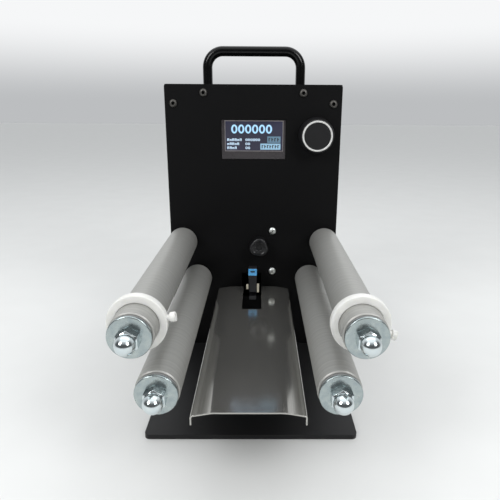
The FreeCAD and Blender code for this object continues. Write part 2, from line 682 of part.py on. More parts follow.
def rear_cover():
    """Sheet-steel cover: top, sides and back, with two front tabs and a foot flange."""
    body = doc.addObject("PartDesign::Body", "cover_body")
    outer = rectangle(f"-{HALF}", "panel_thick", HALF, COVER_BACK)
    pad(body, "XY_Plane", "cover_pad", outer, PANEL_TOP)
    doc.recompute()
    back = float(sheet.panel_thick + sheet.housing_deep)

    def back_corner(edge):
        return upright(edge) and edge.BoundBox.YMin > back - 1

    round_edges(body, "cover_corners", "cover_corner", back_corner)
    below = box("cover_below", (f"-{HALF}", "0", "0"), ("frame_wide", COVER_BACK, "base_thick"))
    room = box(
        "cover_room",
        (f"-{HALF} + cover_wall", "0", "0"),
        ("frame_wide - 2 * cover_wall", f"{COVER_BACK} - cover_wall", f"{PANEL_TOP} - cover_wall"),
    )
    shell = cut("cover_shell", body, [room, below])
    tabs = []
    for side, (x, z) in zip(SIDES, EDGE_SCREWS):
        left = {"left": f"-{HALF} + cover_wall", "right": f"{HALF} - tab_wide"}[side]
        tabs.append(box(f"cover_tab_{side}", (left, "panel_thick", f"{z} - tab_high / 2"),
                        ("tab_wide - cover_wall", "cover_wall", "tab_high")))
    foot = box("cover_foot",
               ("-cover_foot_wide / 2", f"{COVER_BACK} - cover_foot_deep", "base_thick"),
               ("cover_foot_wide", "cover_foot_deep - cover_wall", "cover_wall"))
    whole = joined("cover_whole", [shell, *tabs, foot])
    holes = [rod(f"cover_tab_hole_{i}", NUT_BORE, "button_long", (x, "0", z))
             for i, (x, z) in enumerate(EDGE_SCREWS)]
    for i, (x, y) in enumerate(FOOT_SCREWS):
        if y != "foot_screw_back":
            holes.append(rod(f"cover_foot_hole_{i}", "m_four + hole_gap", "drill_short",
                             (x, y, "0"), Rotation()))
    for name, (x, diameter) in SOCKET_HOLES.items():
        holes.append(rod(f"cover_{name}_hole", f"{diameter} + drop_in_gap", "2 * drill_short",
                         (x, f"{COVER_BACK} - drill_short", "socket_z")))
    holes.append(box("cover_switch_hole",
                     ("switch_x - (switch_wide + drop_in_gap) / 2", f"{COVER_BACK} - drill_short",
                      "socket_z - (switch_high + drop_in_gap) / 2"),
                     ("switch_wide + drop_in_gap", "2 * drill_short",
                      "switch_high + drop_in_gap")))
    for side, sign in SIDES.items():
        holes.append(rod(f"cover_handle_hole_{side}", "m_five + hole_gap", "2 * drill_short",
                         (f"{sign} * handle_half", "handle_back", f"{PANEL_TOP} - drill_short"),
                         Rotation()))
    node("rear_cover", cut("cover_cut", whole, holes))


def handle():
    """Round bar bent into a wide bow, its feet drilled for screws from inside the cover."""
    leg_long = "handle_rise - handle_bar / 2 - handle_bend"
    bar_z = f"{PANEL_TOP} + handle_rise - handle_bar / 2"
    pieces = []
    holes = []
    for side, sign in SIDES.items():
        foot = (f"{sign} * handle_half", "handle_back", PANEL_TOP)
        pieces.append(rod(f"handle_leg_{side}", "handle_bar", leg_long, foot, Rotation()))
        bend = doc.addObject("Part::Torus", f"handle_bend_{side}")
        bind(bend, Radius1="handle_bend", Radius2="handle_bar / 2")
        bend.Angle3 = 90
        quarter = {"left": Rotation(Vector(0, 0, 1), 180), "right": Rotation()}[side]
        put(bend, f"{sign} * (handle_half - handle_bend)", "handle_back",
            f"{bar_z} - handle_bend", turn=quarter.multiply(Rotation(Vector(1, 0, 0), 90)))
        pieces.append(bend)
        holes.append(rod(f"handle_thread_{side}", "m_five + 2 * thread_gap",
                         "handle_screw_long", foot, Rotation()))
    bar_long = "2 * (handle_half - handle_bend)"
    pieces.append(rod("handle_top", "handle_bar", bar_long,
                      ("-handle_half + handle_bend", "handle_back", bar_z), RIGHTWARD))
    node("handle", cut("handle_drilled", joined("handle_bow", pieces), holes))


def handle_brackets():
    """Angle brackets that tie the cover's top and the handle to the panel."""
    under = f"({PANEL_TOP} - cover_wall)"
    brackets = []
    screws = []
    for side, sign in SIDES.items():
        left = f"{sign} * handle_half - bracket_wide / 2"
        leaf = box(f"bracket_leaf_{side}", (left, "panel_thick", f"{under} - bracket_high"),
                   ("bracket_wide", "bracket_thick", "bracket_high"))
        shelf = box(f"bracket_shelf_{side}", (left, "panel_thick", f"{under} - bracket_thick"),
                    ("bracket_wide", "handle_back + bracket_past - panel_thick", "bracket_thick"))
        angle = joined(f"bracket_angle_{side}", [leaf, shelf])
        x, z = BRACKET_SCREWS[list(SIDES).index(side)]
        thread = rod(f"bracket_thread_{side}", NUT_BORE, "drill_short", (x, "0", z))
        passage = rod(f"bracket_passage_{side}", "m_five + hole_gap", "2 * drill_short",
                      (x, "handle_back", f"{under} - drill_short"), Rotation())
        brackets.append(cut(f"bracket_cut_{side}", angle, [thread, passage]))
        head_z = f"{under} - bracket_thick"
        head = rod(f"handle_screw_head_{side}", "handle_screw_head", "m_five",
                   (x, "handle_back", f"{head_z} - m_five"), Rotation())
        shank = rod(f"handle_screw_shank_{side}", "m_five", "handle_screw_long",
                    (x, "handle_back", f"{head_z} - past_nut"), Rotation())
        screws.append(joined(f"handle_screw_{side}", [head, shank]))
    node("handle_brackets", group("handle_bracket_pair", brackets))
    node("handle_screws", group("handle_screw_set", screws))


# ---- rollers ---------------------------------------------------------------------------------


def roller_shaft(name, x, z):
    """Fixed shaft with a shoulder against the panel, threaded at both ends."""
    radius = "shaft_outer / 2"
    rear = "panel_thick + back_washer_thick + nut_high + 3 * past_nut"
    front = f"-({WASHER_FRONT} + cap_bore_deep - past_nut / 2)"
    shoulder = "shaft_collar / 2"
    body = turned(f"shaft_{name}", [
        ("0", rear), (radius, rear), (radius, "0"), (shoulder, "0"),
        (shoulder, "-shaft_collar_thick"), (radius, "-shaft_collar_thick"),
        (radius, front), ("0", front),
    ])
    node(f"roller_shaft_{name}", put(body, x, "0", z))


def roller_tube(name, x, z):
    """Turned aluminium tube, chamfered at both ends."""
    inner = "tube_inner / 2"
    outer = "tube_outer / 2"
    body = turned(f"tube_{name}", [
        (inner, f"-{TUBE_BACK}"),
        (f"{outer} - tube_chamfer", f"-{TUBE_BACK}"),
        (outer, f"-{TUBE_BACK} - tube_chamfer"),
        (outer, f"-{TUBE_FRONT} + tube_chamfer"),
        (f"{outer} - tube_chamfer", f"-{TUBE_FRONT}"),
        (inner, f"-{TUBE_FRONT}"),
    ])
    node(f"roller_tube_{name}", put(body, x, "0", z))


def roller_ends(name, x, z):
    """A flanged bush in each end of the tube, and the ball bearing that it turns on."""
    spigot = "tube_inner / 2"
    flange = "bush_flange / 2"
    seat = "bearing_outer / 2 + running_gap"
    bore = "bush_bore / 2"
    bushes = []
    bearings = []
    for end, face, inward in (("back", f"-{TUBE_BACK} + bush_flange_thick", "-1"),
                              ("front", f"-{TUBE_FRONT} - bush_flange_thick", "1")):
        shoulder = f"{face} + {inward} * bush_flange_thick"
        inside = f"{shoulder} + {inward} * bush_spigot_long"
        step = f"{face} + {inward} * bearing_wide"
        bush = turned(f"bush_{name}_{end}", [
            (seat, face), (flange, face), (flange, shoulder), (spigot, shoulder),
            (spigot, inside), (bore, inside), (bore, step), (seat, step),
        ])
        bushes.append(put(bush, x, "0", z))
        ring = tube(f"bearing_{name}_{end}", "bearing_outer", "shaft_outer + 2 * thread_gap",
                    face, f"{step} - {inward} * running_gap")
        bearings.append(put(ring, x, "0", z))
    node(f"roller_bushes_{name}", group(f"bush_pair_{name}", bushes))
    return bearings


def cap_nut(name, x, z):
    """Domed M8 nut: hexagon, short neck and half ball, with a blind thread."""
    face = f"-{WASHER_FRONT}"
    forward = Rotation(Vector(1, 0, 0), 90)
    hexed = hexagon(f"{name}_hex", "nut_flats", "nut_high", (x, face, z), forward)
    neck_long = "cap_high - cap_dome / 2"
    neck = rod(f"{name}_neck", "cap_dome", neck_long, (x, face, z), forward)
    ball = doc.addObject("Part::Sphere", f"{name}_ball")
    bind(ball, Radius="cap_dome / 2")
    put(ball, x, f"{face} - ({neck_long})", z)
    solid = joined(f"{name}_solid", [hexed, neck, ball])
    bore = rod(f"{name}_bore", "shaft_outer + 2 * thread_gap", "cap_bore_deep", (x, face, z), forward)
    return cut(name, solid, [bore])


def plain_nut(name, flats, high, bore, at):
    """A hexagon nut lying along Y."""
    blank = hexagon(f"{name}_blank", flats, high, at)
    return cut(name, blank, [rod(f"{name}_bore", bore, high, at)])


def roller_fasteners():
    """Large washer and cap nut in front, washer and nut behind the panel."""
    bore = "shaft_outer + 2 * thread_gap"
    washers = []
    caps = []
    back_washers = []
    back_nuts = []
    nut_seat = "panel_thick + back_washer_thick"
    for name, (x, z) in ROLLERS.items():
        front = tube(f"washer_{name}", "washer_outer", bore, f"-{WASHER_FRONT}", f"-{WASHER_BACK}")
        washers.append(put(front, x, "0", z))
        caps.append(cap_nut(f"cap_nut_{name}", x, z))
        back = tube(f"back_washer_{name}", "back_washer_outer", bore, "panel_thick", nut_seat)
        back_washers.append(put(back, x, "0", z))
        back_nuts.append(plain_nut(f"back_nut_{name}", "nut_flats", "nut_high", bore,
                                   (x, nut_seat, z)))
    node("roller_washers", group("washer_set", washers))
    node("cap_nuts", group("cap_nut_set", caps))
    node("shaft_washers", group("back_washer_set", back_washers))
    node("shaft_nuts", group("back_nut_set", back_nuts))


def guide_collar(side, sign, tilt):
    """Nylon ring that slides on an upper roller, and the thumb screw that locks it."""
    x = f"{sign} * {UPPER_X}"
    front = f"(-{TUBE_FRONT} + collar_from_end)"
    middle = f"{front} + collar_thick / 2"
    ring = tube(f"ring_{side}", "collar_outer", "tube_outer + 2 * running_gap",
                front, f"{front} + collar_thick")
    hole = rod(f"collar_hole_{side}", "m_four + 2 * running_gap", "collar_outer",
               ("0", middle, "0"), RIGHTWARD)
    collar = cut(f"collar_cut_{side}", ring, [hole])
    tip = "tube_outer / 2 + thumb_tip_gap"
    head_start = "collar_outer / 2 + thumb_neck"
    shank = rod(f"thumb_shank_{side}", "m_four", f"{head_start} - ({tip}) + thumb_head_long / 2",
                (tip, middle, "0"), RIGHTWARD)
    head = rod(f"thumb_head_{side}", "thumb_head", "thumb_head_long",
               (head_start, middle, "0"), RIGHTWARD)
    thumb = joined(f"thumb_{side}", [shank, head])
    for label, thing in ((f"guide_collar_{side}", collar), (f"thumb_screw_{side}", thumb)):
        put(thing, x, "0", "upper_axis_z", Rotation(Vector(0, 1, 0), 1))
        thing.setExpression("Placement.Rotation.Angle", in_sheet(f"-{tilt}"))
        node(label, thing)


# ---- display ---------------------------------------------------------------------------------


def display():
    """Glass in the panel's opening, its board behind, held by four studs and nuts."""
    glass_wide = "(display_wide - 2 * glass_gap)"
    glass_high = "(display_high - 2 * glass_gap)"
    node("display_glass", box(
        "glass",
        (f"-{glass_wide} / 2", "panel_thick - glass_thick", f"{DISPLAY_Z} - {glass_high} / 2"),
        (glass_wide, "glass_thick + board_seat", glass_high),
    ))
    board_front = "(panel_thick + board_seat)"
    board_wide = "(display_wide + 2 * board_margin)"
    board_high = "(display_high + 2 * board_edge)"
    plate = box(
        "display_plate",
        (f"-{board_wide} / 2", board_front, f"{DISPLAY_Z} - {board_high} / 2"),
        (board_wide, "board_thick", board_high),
    )
    header = box(
        "display_header",
        ("-header_wide / 2", f"{board_front} + board_thick / 2", f"{DISPLAY_Z} + header_rise"),
        ("header_wide", "header_deep", "header_high"),
    )
    holes = []
    studs = []
    nuts = []
    for i, (x, z) in enumerate(BOARD_STUDS):
        holes.append(rod(f"display_hole_{i}", "m_three + drop_in_gap", "drill_short", (x, "0", z)))
        studs.append(rod(f"display_stud_{i}", "m_three", "stud_long", (x, "panel_thick", z)))
        nuts.append(plain_nut(f"display_nut_{i}", "stud_nut_flats", "stud_nut_high",
                              "m_three + 2 * thread_gap",
                              (x, f"{board_front} + board_thick", z)))
    board = joined("display_board_whole", [plate, header])
    node("display_board", cut("display_board_cut", board, holes))
    node("display_studs", group("display_stud_set", studs))
    node("display_nuts", group("display_nut_set", nuts))


# ---- dial and encoder ------------------------------------------------------------------------

SHAFT_END = "(panel_thick + encoder_deep - encoder_floor)"
WHEEL_BACK = f"({SHAFT_END} - wheel_room)"
SHAFT_START = "(-dial_high + dial_web)"


def encoder():
    """Rotary encoder: body with a threaded neck, nut, contact wheel and shaft."""
    side = "encoder_side"
    case = box("encoder_case", (f"{DIAL_X} - {side} / 2", "panel_thick", f"{DIAL_Z} - {side} / 2"),
               (side, "encoder_deep", side))
    neck = rod("encoder_neck_rod", "encoder_neck", "encoder_neck_long + 2 * panel_thick",
               (DIAL_X, "-encoder_neck_long", DIAL_Z))
    whole = joined("encoder_whole", [case, neck])
    bore = rod("encoder_bore", "encoder_shaft + 2 * running_gap",
               f"dial_high + {SHAFT_END} + dial_travel + wheel_gap",
               (DIAL_X, "-dial_high", DIAL_Z))
    room_long = "(encoder_wheel_thick + 2 * wheel_gap)"
    room = rod("encoder_room", "encoder_wheel + 2 * wheel_gap", room_long,
               (DIAL_X, f"{WHEEL_BACK} + wheel_gap - {room_long}", DIAL_Z))
    node("encoder_body", cut("encoder_cut", whole, [bore, room]))
    node("encoder_nut", plain_nut("encoder_nut_cut", "encoder_nut_flats", "encoder_nut_high",
                                  "encoder_neck + 2 * thread_gap",
                                  (DIAL_X, "-encoder_nut_high", DIAL_Z)))
    wheel = tube("wheel", "encoder_wheel", "encoder_shaft + 2 * running_gap",
                 f"{WHEEL_BACK} - encoder_wheel_thick", WHEEL_BACK)
    node("encoder_wheel", put(wheel, DIAL_X, "0", DIAL_Z))


def dial():
    """Counter dial with a bright ring in its face, pressed on the encoder's shaft."""
    shaft = "encoder_shaft / 2"
    skirt = "dial_skirt / 2"
    face = "dial_face / 2"
    hollow = "dial_hollow / 2"
    low = "-dial_lift"
    roof = "-dial_lift - dial_hollow_deep"
    ring_out = "ring_outer / 2"
    ring_in = "ring_outer / 2 - ring_wide"
    ring_floor = "-dial_high + ring_deep"
    rounding = "dial_rounding"
    body = turned("dial_body", [
        ("0", SHAFT_START), (shaft, SHAFT_START), (shaft, roof), (hollow, roof), (hollow, low),
        (skirt, low), (skirt, f"{low} - skirt_high"), (face, f"-dial_high + {rounding}"),
        (f"{face} - {rounding} / 2", "-dial_high"), (ring_out, "-dial_high"),
        (ring_out, ring_floor),
        (ring_in, ring_floor), (ring_in, "-dial_high"), ("0", "-dial_high"),
    ])
    node("counter_dial", put(body, DIAL_X, "0", DIAL_Z))
    ring = tube("bright_ring", "ring_outer", "ring_outer - 2 * ring_wide",
                ring_floor, "-dial_high - ring_proud")
    node("dial_ring", put(ring, DIAL_X, "0", DIAL_Z))
    node("encoder_shaft", rod("encoder_shaft_rod", "encoder_shaft",
                              f"{SHAFT_END} - {SHAFT_START}", (DIAL_X, SHAFT_START, DIAL_Z)))


# ---- sensor adjuster -------------------------------------------------------------------------

REAR_PLATE = "(panel_thick + frame_long)"


def sensor_frame():
    """Bent sheet bracket behind the panel that carries the lead screw and the rods."""
    sheet_y = "(panel_thick + frame_sheet)"
    front = box("frame_front", ("-frame_left", "panel_thick", "frame_floor"),
                ("frame_left + frame_right + frame_sheet", "frame_sheet", "frame_top - frame_floor"))
    flange = box("frame_flange_box", ("frame_right", "panel_thick", "frame_low"),
                 ("frame_flange", "frame_sheet", "frame_top - frame_low"))
    side = box("frame_side", ("frame_right", "panel_thick", "frame_floor"),
               ("frame_sheet", f"{REAR_PLATE} + frame_sheet - panel_thick",
                "frame_top - frame_floor"))
    rear = box("frame_rear", ("-frame_left", REAR_PLATE, "frame_floor"),
               ("frame_left + frame_right + frame_sheet", "frame_sheet", "frame_top - frame_floor"))
    whole = joined("frame_whole", [front, flange, side, rear])
    holes = [rod("frame_bush_hole", "bush_outer", "drill_long", ("knob_x", "0", "knob_z"))]
    for i, (x, z) in enumerate(FRAME_SCREWS):
        holes.append(rod(f"frame_thread_{i}", "m_three + 2 * thread_gap", sheet_y, (x, "0", z)))
    for level in ("high", "low"):
        holes.append(rod(f"frame_rod_hole_{level}", "rod_outer", "drill_long",
                         ("-rod_x", "0", f"rod_{level}_z")))
    node("sensor_frame", cut("frame_cut", whole, holes))


def frame_screws():
    """Two pan-head screws that hold the sensor frame to the panel."""
    forward = Rotation(Vector(1, 0, 0), 90)
    cross_y = "-pan_high - cross_deep"
    screws = []
    for i, (x, z) in enumerate(FRAME_SCREWS):
        head = cone(f"pan_head_{i}", "pan_head", "pan_top", "pan_high", (x, "0", z), forward)
        shank = rod(f"pan_shank_{i}", "m_three", "pan_long", (x, "0", z))
        whole = joined(f"pan_whole_{i}", [head, shank])
        slots = [
            box(f"pan_slot_{i}_{wide}", (f"{x} - {wide} / 2", cross_y, f"{z} - {high} / 2"),
                (wide, "2 * cross_deep", high))
            for wide, high in (("cross_long", "cross_wide"), ("cross_wide", "cross_long"))
        ]
        screws.append(cut(f"pan_screw_{i}", whole, slots))
    node("sensor_frame_screws", group("pan_screw_set", screws))


def guide_rods():
    """Two ground rods pressed into the sensor frame."""
    rods = [rod(f"guide_rod_{level}", "rod_outer", "frame_long + frame_sheet",
                ("-rod_x", "panel_thick", f"rod_{level}_z")) for level in ("high", "low")]
    node("guide_rods", group("guide_rod_pair", rods))


def lead_screw():
    """Lead screw with a stop shoulder, its two bushes, and its knob in front."""
    at = {"x": "knob_x", "z": "knob_z"}
    screw_bore = "screw_outer + 2 * running_gap"
    bush_back = "(panel_thick + frame_sheet)"
    front_bush = turned("front_bush", [
        (f"({screw_bore}) / 2", "-bush_rim_thick"), ("bush_rim / 2", "-bush_rim_thick"),
        ("bush_rim / 2", "0"), ("bush_outer / 2", "0"), ("bush_outer / 2", bush_back),
        (f"({screw_bore}) / 2", bush_back),
    ])
    rear_bush = tube("rear_bush", "bush_outer", screw_bore, REAR_PLATE,
                     f"{REAR_PLATE} + frame_sheet")
    bushes = [put(front_bush, **at), put(rear_bush, **at)]
    node("lead_screw_bushes", group("lead_bush_pair", bushes))
    knob_face = "-(knob_lift + knob_long)"
    screw_front = "-(knob_lift + knob_long - knob_socket_deep - past_nut)"
    screw_end = f"{REAR_PLATE} + frame_sheet + 2 * past_nut"
    stop_front = f"({bush_back} + end_gap)"
    radius = "screw_outer / 2"
    screw = turned("lead_screw_body", [
        ("0", screw_front), (radius, screw_front), (radius, stop_front),
        ("stop_outer / 2", stop_front), ("stop_outer / 2", f"{stop_front} + stop_long"),
        (radius, f"{stop_front} + stop_long"), (radius, screw_end), ("0", screw_end),
    ])
    node("lead_screw", put(screw, **at))
    blank = rod("knob_blank", "knob_outer", "knob_long", ("knob_x", knob_face, "knob_z"))
    socket = hexagon("knob_recess", "knob_socket", "knob_socket_deep",
                     ("knob_x", knob_face, "knob_z"))
    bore = rod("knob_bore", "screw_outer", "knob_long", ("knob_x", screw_front, "knob_z"))
    node("adjusting_knob", cut("knob_cut", blank, [socket, bore]))


def sensor_carriage():
    """Block that slides on the rods, with an arm down to the fork, and the brass nut in it."""
    block = box("carriage_block", ("-carriage_left", "carriage_back", "carriage_floor"),
                ("carriage_left + carriage_right", "carriage_deep",
                 "carriage_top - carriage_floor"))
    holes = [rod("carriage_nut_hole", "lead_nut_outer", "carriage_deep",
                 ("knob_x", "carriage_back", "knob_z"))]
    for level in ("high", "low"):
        holes.append(rod(f"carriage_rod_hole_{level}", "rod_outer + 2 * running_gap", "drill_long",
                         ("-rod_x", "0", f"rod_{level}_z")))
    arm = box("carriage_arm", ("fork_x - fork_wide / 2", "carriage_back", "fork_floor"),
              ("fork_wide", "arm_thick", "carriage_floor - fork_floor"))
    whole = joined("carriage_whole", [block, arm])
    node("sensor_carriage", cut("carriage_cut", whole, holes))
    back = "(carriage_back + carriage_deep)"
    bore = "(screw_outer + 2 * running_gap) / 2"
    nut = turned("lead_nut_body", [
        (bore, "carriage_back"), ("lead_nut_outer / 2", "carriage_back"),
        ("lead_nut_outer / 2", back), ("lead_nut_flange / 2", back),
        ("lead_nut_flange / 2", f"{back} + lead_nut_flange_thick"),
        (bore, f"{back} + lead_nut_flange_thick"),
    ])
    node("lead_nut", put(nut, "knob_x", "0", "knob_z"))


# ---- fork sensor -----------------------------------------------------------------------------


def fork_sensor():
    """Fork-shaped light sensor: two arms round the label strip, a blue cap and side clips."""
    left = "fork_x - fork_wide / 2"
    neck = box("fork_neck", (left, "-fork_front", "fork_floor"),
               ("fork_wide", "fork_front + carriage_back", "fork_neck_top - fork_floor"))
    head = box("fork_head", (left, "-fork_front", "fork_floor"),
               ("fork_wide", "fork_head_long", "fork_top - fork_floor"))
    crown = box("fork_crown", (left, "-fork_front + fork_cap_deep", "fork_floor"),
                ("fork_wide", "fork_head_long - fork_cap_deep",
                 "fork_top + fork_cap_high + fork_crown_rise - fork_floor"))
    whole = joined("fork_whole", [neck, head, crown])
    mouth = box("fork_mouth", ("fork_x - fork_wide", "-2 * fork_front", "fork_mouth_low"),
                ("2 * fork_wide", "fork_front + fork_throat", "fork_mouth_top - fork_mouth_low"))
    node("sensor_fork", cut("fork_cut", whole, [mouth]))
    cap = box("fork_cap_box", (left, "-fork_front", "fork_top"),
              ("fork_wide", "fork_cap_deep", "fork_cap_high"))
    slot = box("fork_cap_slot",
               ("fork_x - cap_slot_wide / 2", "-2 * fork_front", "fork_top + cap_slot_rise"),
               ("cap_slot_wide", "fork_front + cap_slot_deep", "cap_slot_high"))
    node("sensor_cap", cut("fork_cap_cut", cap, [slot]))
    clips = [
        box(f"clip_{side}", (x, "-fork_front + clip_back", f"{side}_clip_low"),
            ("clip_wide", "clip_deep", f"{side}_clip_high"))
        for side, x in (("left", f"{left} - clip_wide"), ("right", f"{left} + fork_wide"))
    ]
    node("sensor_clips", group("clip_pair", clips))


# ---- web tray --------------------------------------------------------------------------------


def web_tray():
    """Stainless sheet: flat middle, sloping wings, edge flanges, and a slot for the fork."""
    body = doc.addObject("PartDesign::Body", "tray_body")
    wing_z = "(tray_top - tray_fall)"
    lip_z = f"({wing_z} - tray_lip)"
    inner = f"({TRAY_EDGE} - tray_sheet)"
    inner_z = f"({wing_z} - tray_sheet)"
    outline = [
        (f"-{TRAY_EDGE}", wing_z), (f"-{TRAY_FLAT}", "tray_top"), (TRAY_FLAT, "tray_top"),
        (TRAY_EDGE, wing_z), (TRAY_EDGE, lip_z), (inner, lip_z), (inner, inner_z),
        (TRAY_FLAT, TRAY_UNDER), (f"-{TRAY_FLAT}", TRAY_UNDER), (f"-{inner}", inner_z),
        (f"-{inner}", lip_z), (f"-{TRAY_EDGE}", lip_z),
    ]
    pad(body, "XZ_Plane", "tray_pad", outline, TRAY_FRONT)
    doc.recompute()
    edge_z = float(sheet.tray_top - sheet.tray_fall)
    bend = float(sheet.tray_bend)

    def outer_bend(edge):
        return fore_and_aft(edge) and abs(edge.BoundBox.ZMin - edge_z) < bend / 4

    round_edges(body, "tray_bends", "tray_bend", outer_bend)
    slot = rectangle("-slot_left", "-slot_long", "slot_right", "drill_short")
    strip = rectangle("-frame_wide", "-tray_back_gap", "frame_wide", "drill_short")
    pierce(body, "XY_Plane", "tray_slot", [slot])
    pierce(body, "XY_Plane", "tray_back_edge", [strip])
    node("web_tray", body)


def tray_brackets():
    """Black angle bars welded under the tray and screwed to the panel from behind."""
    brackets = []
    for side, left in TRAY_BARS.items():
        bar = box(f"tray_bar_{side}", (left, "-tray_bar_long", f"{TRAY_UNDER} - tray_bar_thick"),
                  ("tray_bar_wide", "tray_bar_long", "tray_bar_thick"))
        leaf = box(f"tray_leaf_{side}", (left, "-tray_bar_thick", TRAY_LEAF_FOOT),
                   ("tray_bar_wide", "tray_bar_thick", f"{TRAY_UNDER} - {TRAY_LEAF_FOOT}"))
        whole = joined(f"tray_angle_{side}", [bar, leaf])
        holes = [rod(f"tray_thread_{i}", NUT_BORE, "2 * drill_short", (x, "-drill_short", z))
                 for i, (x, z) in enumerate(TRAY_SCREWS) if x.startswith(left)]
        brackets.append(cut(f"tray_bracket_cut_{side}", whole, holes))
    node("tray_brackets", group("tray_bracket_pair", brackets))
    screws = []
    for i, (x, z) in enumerate(TRAY_SCREWS):
        shank = rod(f"tray_shank_{i}", "m_four", "tray_bar_thick + panel_thick + past_nut",
                    (x, "-tray_bar_thick", z))
        head = rod(f"tray_head_{i}", "tray_screw_head", "tray_screw_head_high",
                   (x, "panel_thick", z))
        screws.append(joined(f"tray_screw_{i}", [shank, head]))
    node("tray_screws", group("tray_screw_set", screws))


# ---- electrics -------------------------------------------------------------------------------


def round_socket(name, x, outer, bore):
    """A barrel through the cover's back with a rim outside and a blind bore."""
    at = (x, f"{COVER_BACK} - cover_wall - socket_deep", "socket_z")
    long = "socket_deep + cover_wall + socket_proud"
    barrel = rod(f"{name}_barrel", outer, long, at)
    rim = rod(f"{name}_rim", f"{outer} + 2 * socket_rim", "socket_proud / 2",
              (x, COVER_BACK, "socket_z"))
    floor_y = f"{COVER_BACK} - socket_bore_deep"
    hollow = rod(f"{name}_hollow", bore, "socket_proud + socket_bore_deep",
                 (x, floor_y, "socket_z"))
    pin = rod(f"{name}_pin", f"{bore} * 0.36", "socket_bore_deep + socket_proud / 2",
              (x, floor_y, "socket_z"))
    opened = cut(f"{name}_opened", joined(f"{name}_solid", [barrel, rim]), [hollow])
    node(name, joined(f"{name}_whole", [opened, pin]))


def power_switch():
    """Rocker switch: a bezel and case through the cover's back, and the rocker itself."""
    low = "socket_z - switch_high / 2"
    left = "switch_x - switch_wide / 2"
    inside = f"{COVER_BACK} - cover_wall - switch_deep"
    case = box("switch_case", (left, inside, low),
               ("switch_wide", "switch_deep + cover_wall", "switch_high"))
    bezel = box("switch_bezel",
                (f"{left} - switch_rim", COVER_BACK, f"{low} - switch_rim"),
                ("switch_wide + 2 * switch_rim", "switch_rim", "switch_high + 2 * switch_rim"))
    whole = joined("switch_whole", [case, bezel])
    room = box("switch_room",
               (f"{left} + switch_wall", f"{COVER_BACK} - socket_bore_deep", f"{low} + switch_wall"),
               ("switch_wide - 2 * switch_wall", "2 * drill_short",
                "switch_high - 2 * switch_wall"))
    node("power_switch", cut("switch_cut", whole, [room]))
    rocker = doc.addObject("PartDesign::Body", "rocker_body")
    half = "(switch_wide / 2 - switch_wall - rocker_gap)"
    outline = [
        (f"-{half}", "-rocker_low"), (half, "-rocker_low"), (half, "rocker_shoulder"),
        ("0", "rocker_ridge"), (f"-{half}", "rocker_shoulder"),
    ]
    rocker_high = "switch_high - 2 * (switch_wall + rocker_gap)"
    feature = pad(rocker, "XY_Plane", "rocker_pad", outline, rocker_high)
    feature.Midplane = True
    put(rocker, "switch_x", COVER_BACK, "socket_z", Rotation(Vector(0, 0, 1), 1))
    rocker.setExpression("Placement.Rotation.Angle", in_sheet("rocker_tilt"))
    node("switch_rocker", rocker)


def controller():
    """Controller board with its parts on four pillars above the base plate."""
    board_z = "(base_thick + main_board_lift)"
    left = "-main_board_wide / 2"
    plate = box("main_plate", (left, "main_board_front", board_z),
                ("main_board_wide", "main_board_deep", "board_thick"))
    chip = box("main_chip", ("-chip_side / 2", "main_board_front + chip_back", board_z),
               ("chip_side", "chip_side", "board_thick + chip_high"))
    regulator = box("main_regulator", (f"{left} + regulator_deep", "main_board_front + part_edge",
                                       board_z),
                    ("regulator_wide", "regulator_deep", "board_thick + regulator_high"))
    terminals = box("main_terminals",
                    ("chip_back", "main_board_front + main_board_deep - part_edge - part_gap",
                     board_z),
                    ("terminals_wide", "part_edge", "board_thick + terminals_high"))
    node("controller_board", joined("controller_whole", [plate, chip, regulator, terminals]))
    pillars = [
        rod(f"pillar_{i}", "pillar_outer", "main_board_lift", (x, y, "base_thick"), Rotation())
        for i, (x, y) in enumerate(
            (f"{sign} * (main_board_wide / 2 - pillar_inset)", y)
            for sign in SIDES.values()
            for y in ("main_board_front + pillar_inset",
                      "main_board_front + main_board_deep - pillar_inset")
        )
    ]
    node("board_pillars", group("pillar_set", pillars))


# ---- build, check and write ------------------------------------------------------------------


def check():
    """Stop unless every feature built, every cut removed something and every node is sound."""
    for thing in doc.Objects:
        if {"Invalid", "Error"} & set(thing.State):
            raise RuntimeError(f"{thing.Name} did not build: {thing.State}")
        if thing.TypeId == "PartDesign::Pocket":
            if thing.Shape.Volume > thing.BaseFeature.Shape.Volume - 1e-3:
                raise RuntimeError(f"{thing.Name} cut nothing")
        if thing.TypeId == "Part::Cut":
            if thing.Shape.Volume > thing.Base.Shape.Volume - 1e-3:
                raise RuntimeError(f"{thing.Name} cut nothing")
    for label, thing in NODES.items():
        if thing.Shape.isNull() or not thing.Shape.isValid() or not thing.Shape.Solids:
            raise RuntimeError(f"{label} is not a sound solid")


def build():
    """Every sub-part in turn."""
    base_plate()
    base_screws()
    front_panel()
    panel_screws()
    rear_cover()
    handle()
    handle_brackets()
    bearings = []
    for name, (x, z) in ROLLERS.items():
        roller_shaft(name, x, z)
        roller_tube(name, x, z)
        bearings += roller_ends(name, x, z)
    node("roller_bearings", group("bearing_set", bearings))
    roller_fasteners()
    guide_collar("left", "-1", "left_thumb_tilt")
    guide_collar("right", "1", "right_thumb_tilt")
    display()
    encoder()
    dial()
    sensor_frame()
    frame_screws()
    guide_rods()
    lead_screw()
    sensor_carriage()
    fork_sensor()
    web_tray()
    tray_brackets()
    for name, (x, outer) in SOCKET_HOLES.items():
        round_socket(f"{name}_socket", x, outer, f"{name}_bore")
    power_switch()
    controller()


build()
doc.recompute()
check()
os.makedirs("parts", exist_ok=True)
for label, thing in NODES.items():
    thing.Shape.exportStep(f"parts/{label}.step")
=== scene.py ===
import json
import math

import bmesh
import bpy
from mathutils import Matrix, Vector

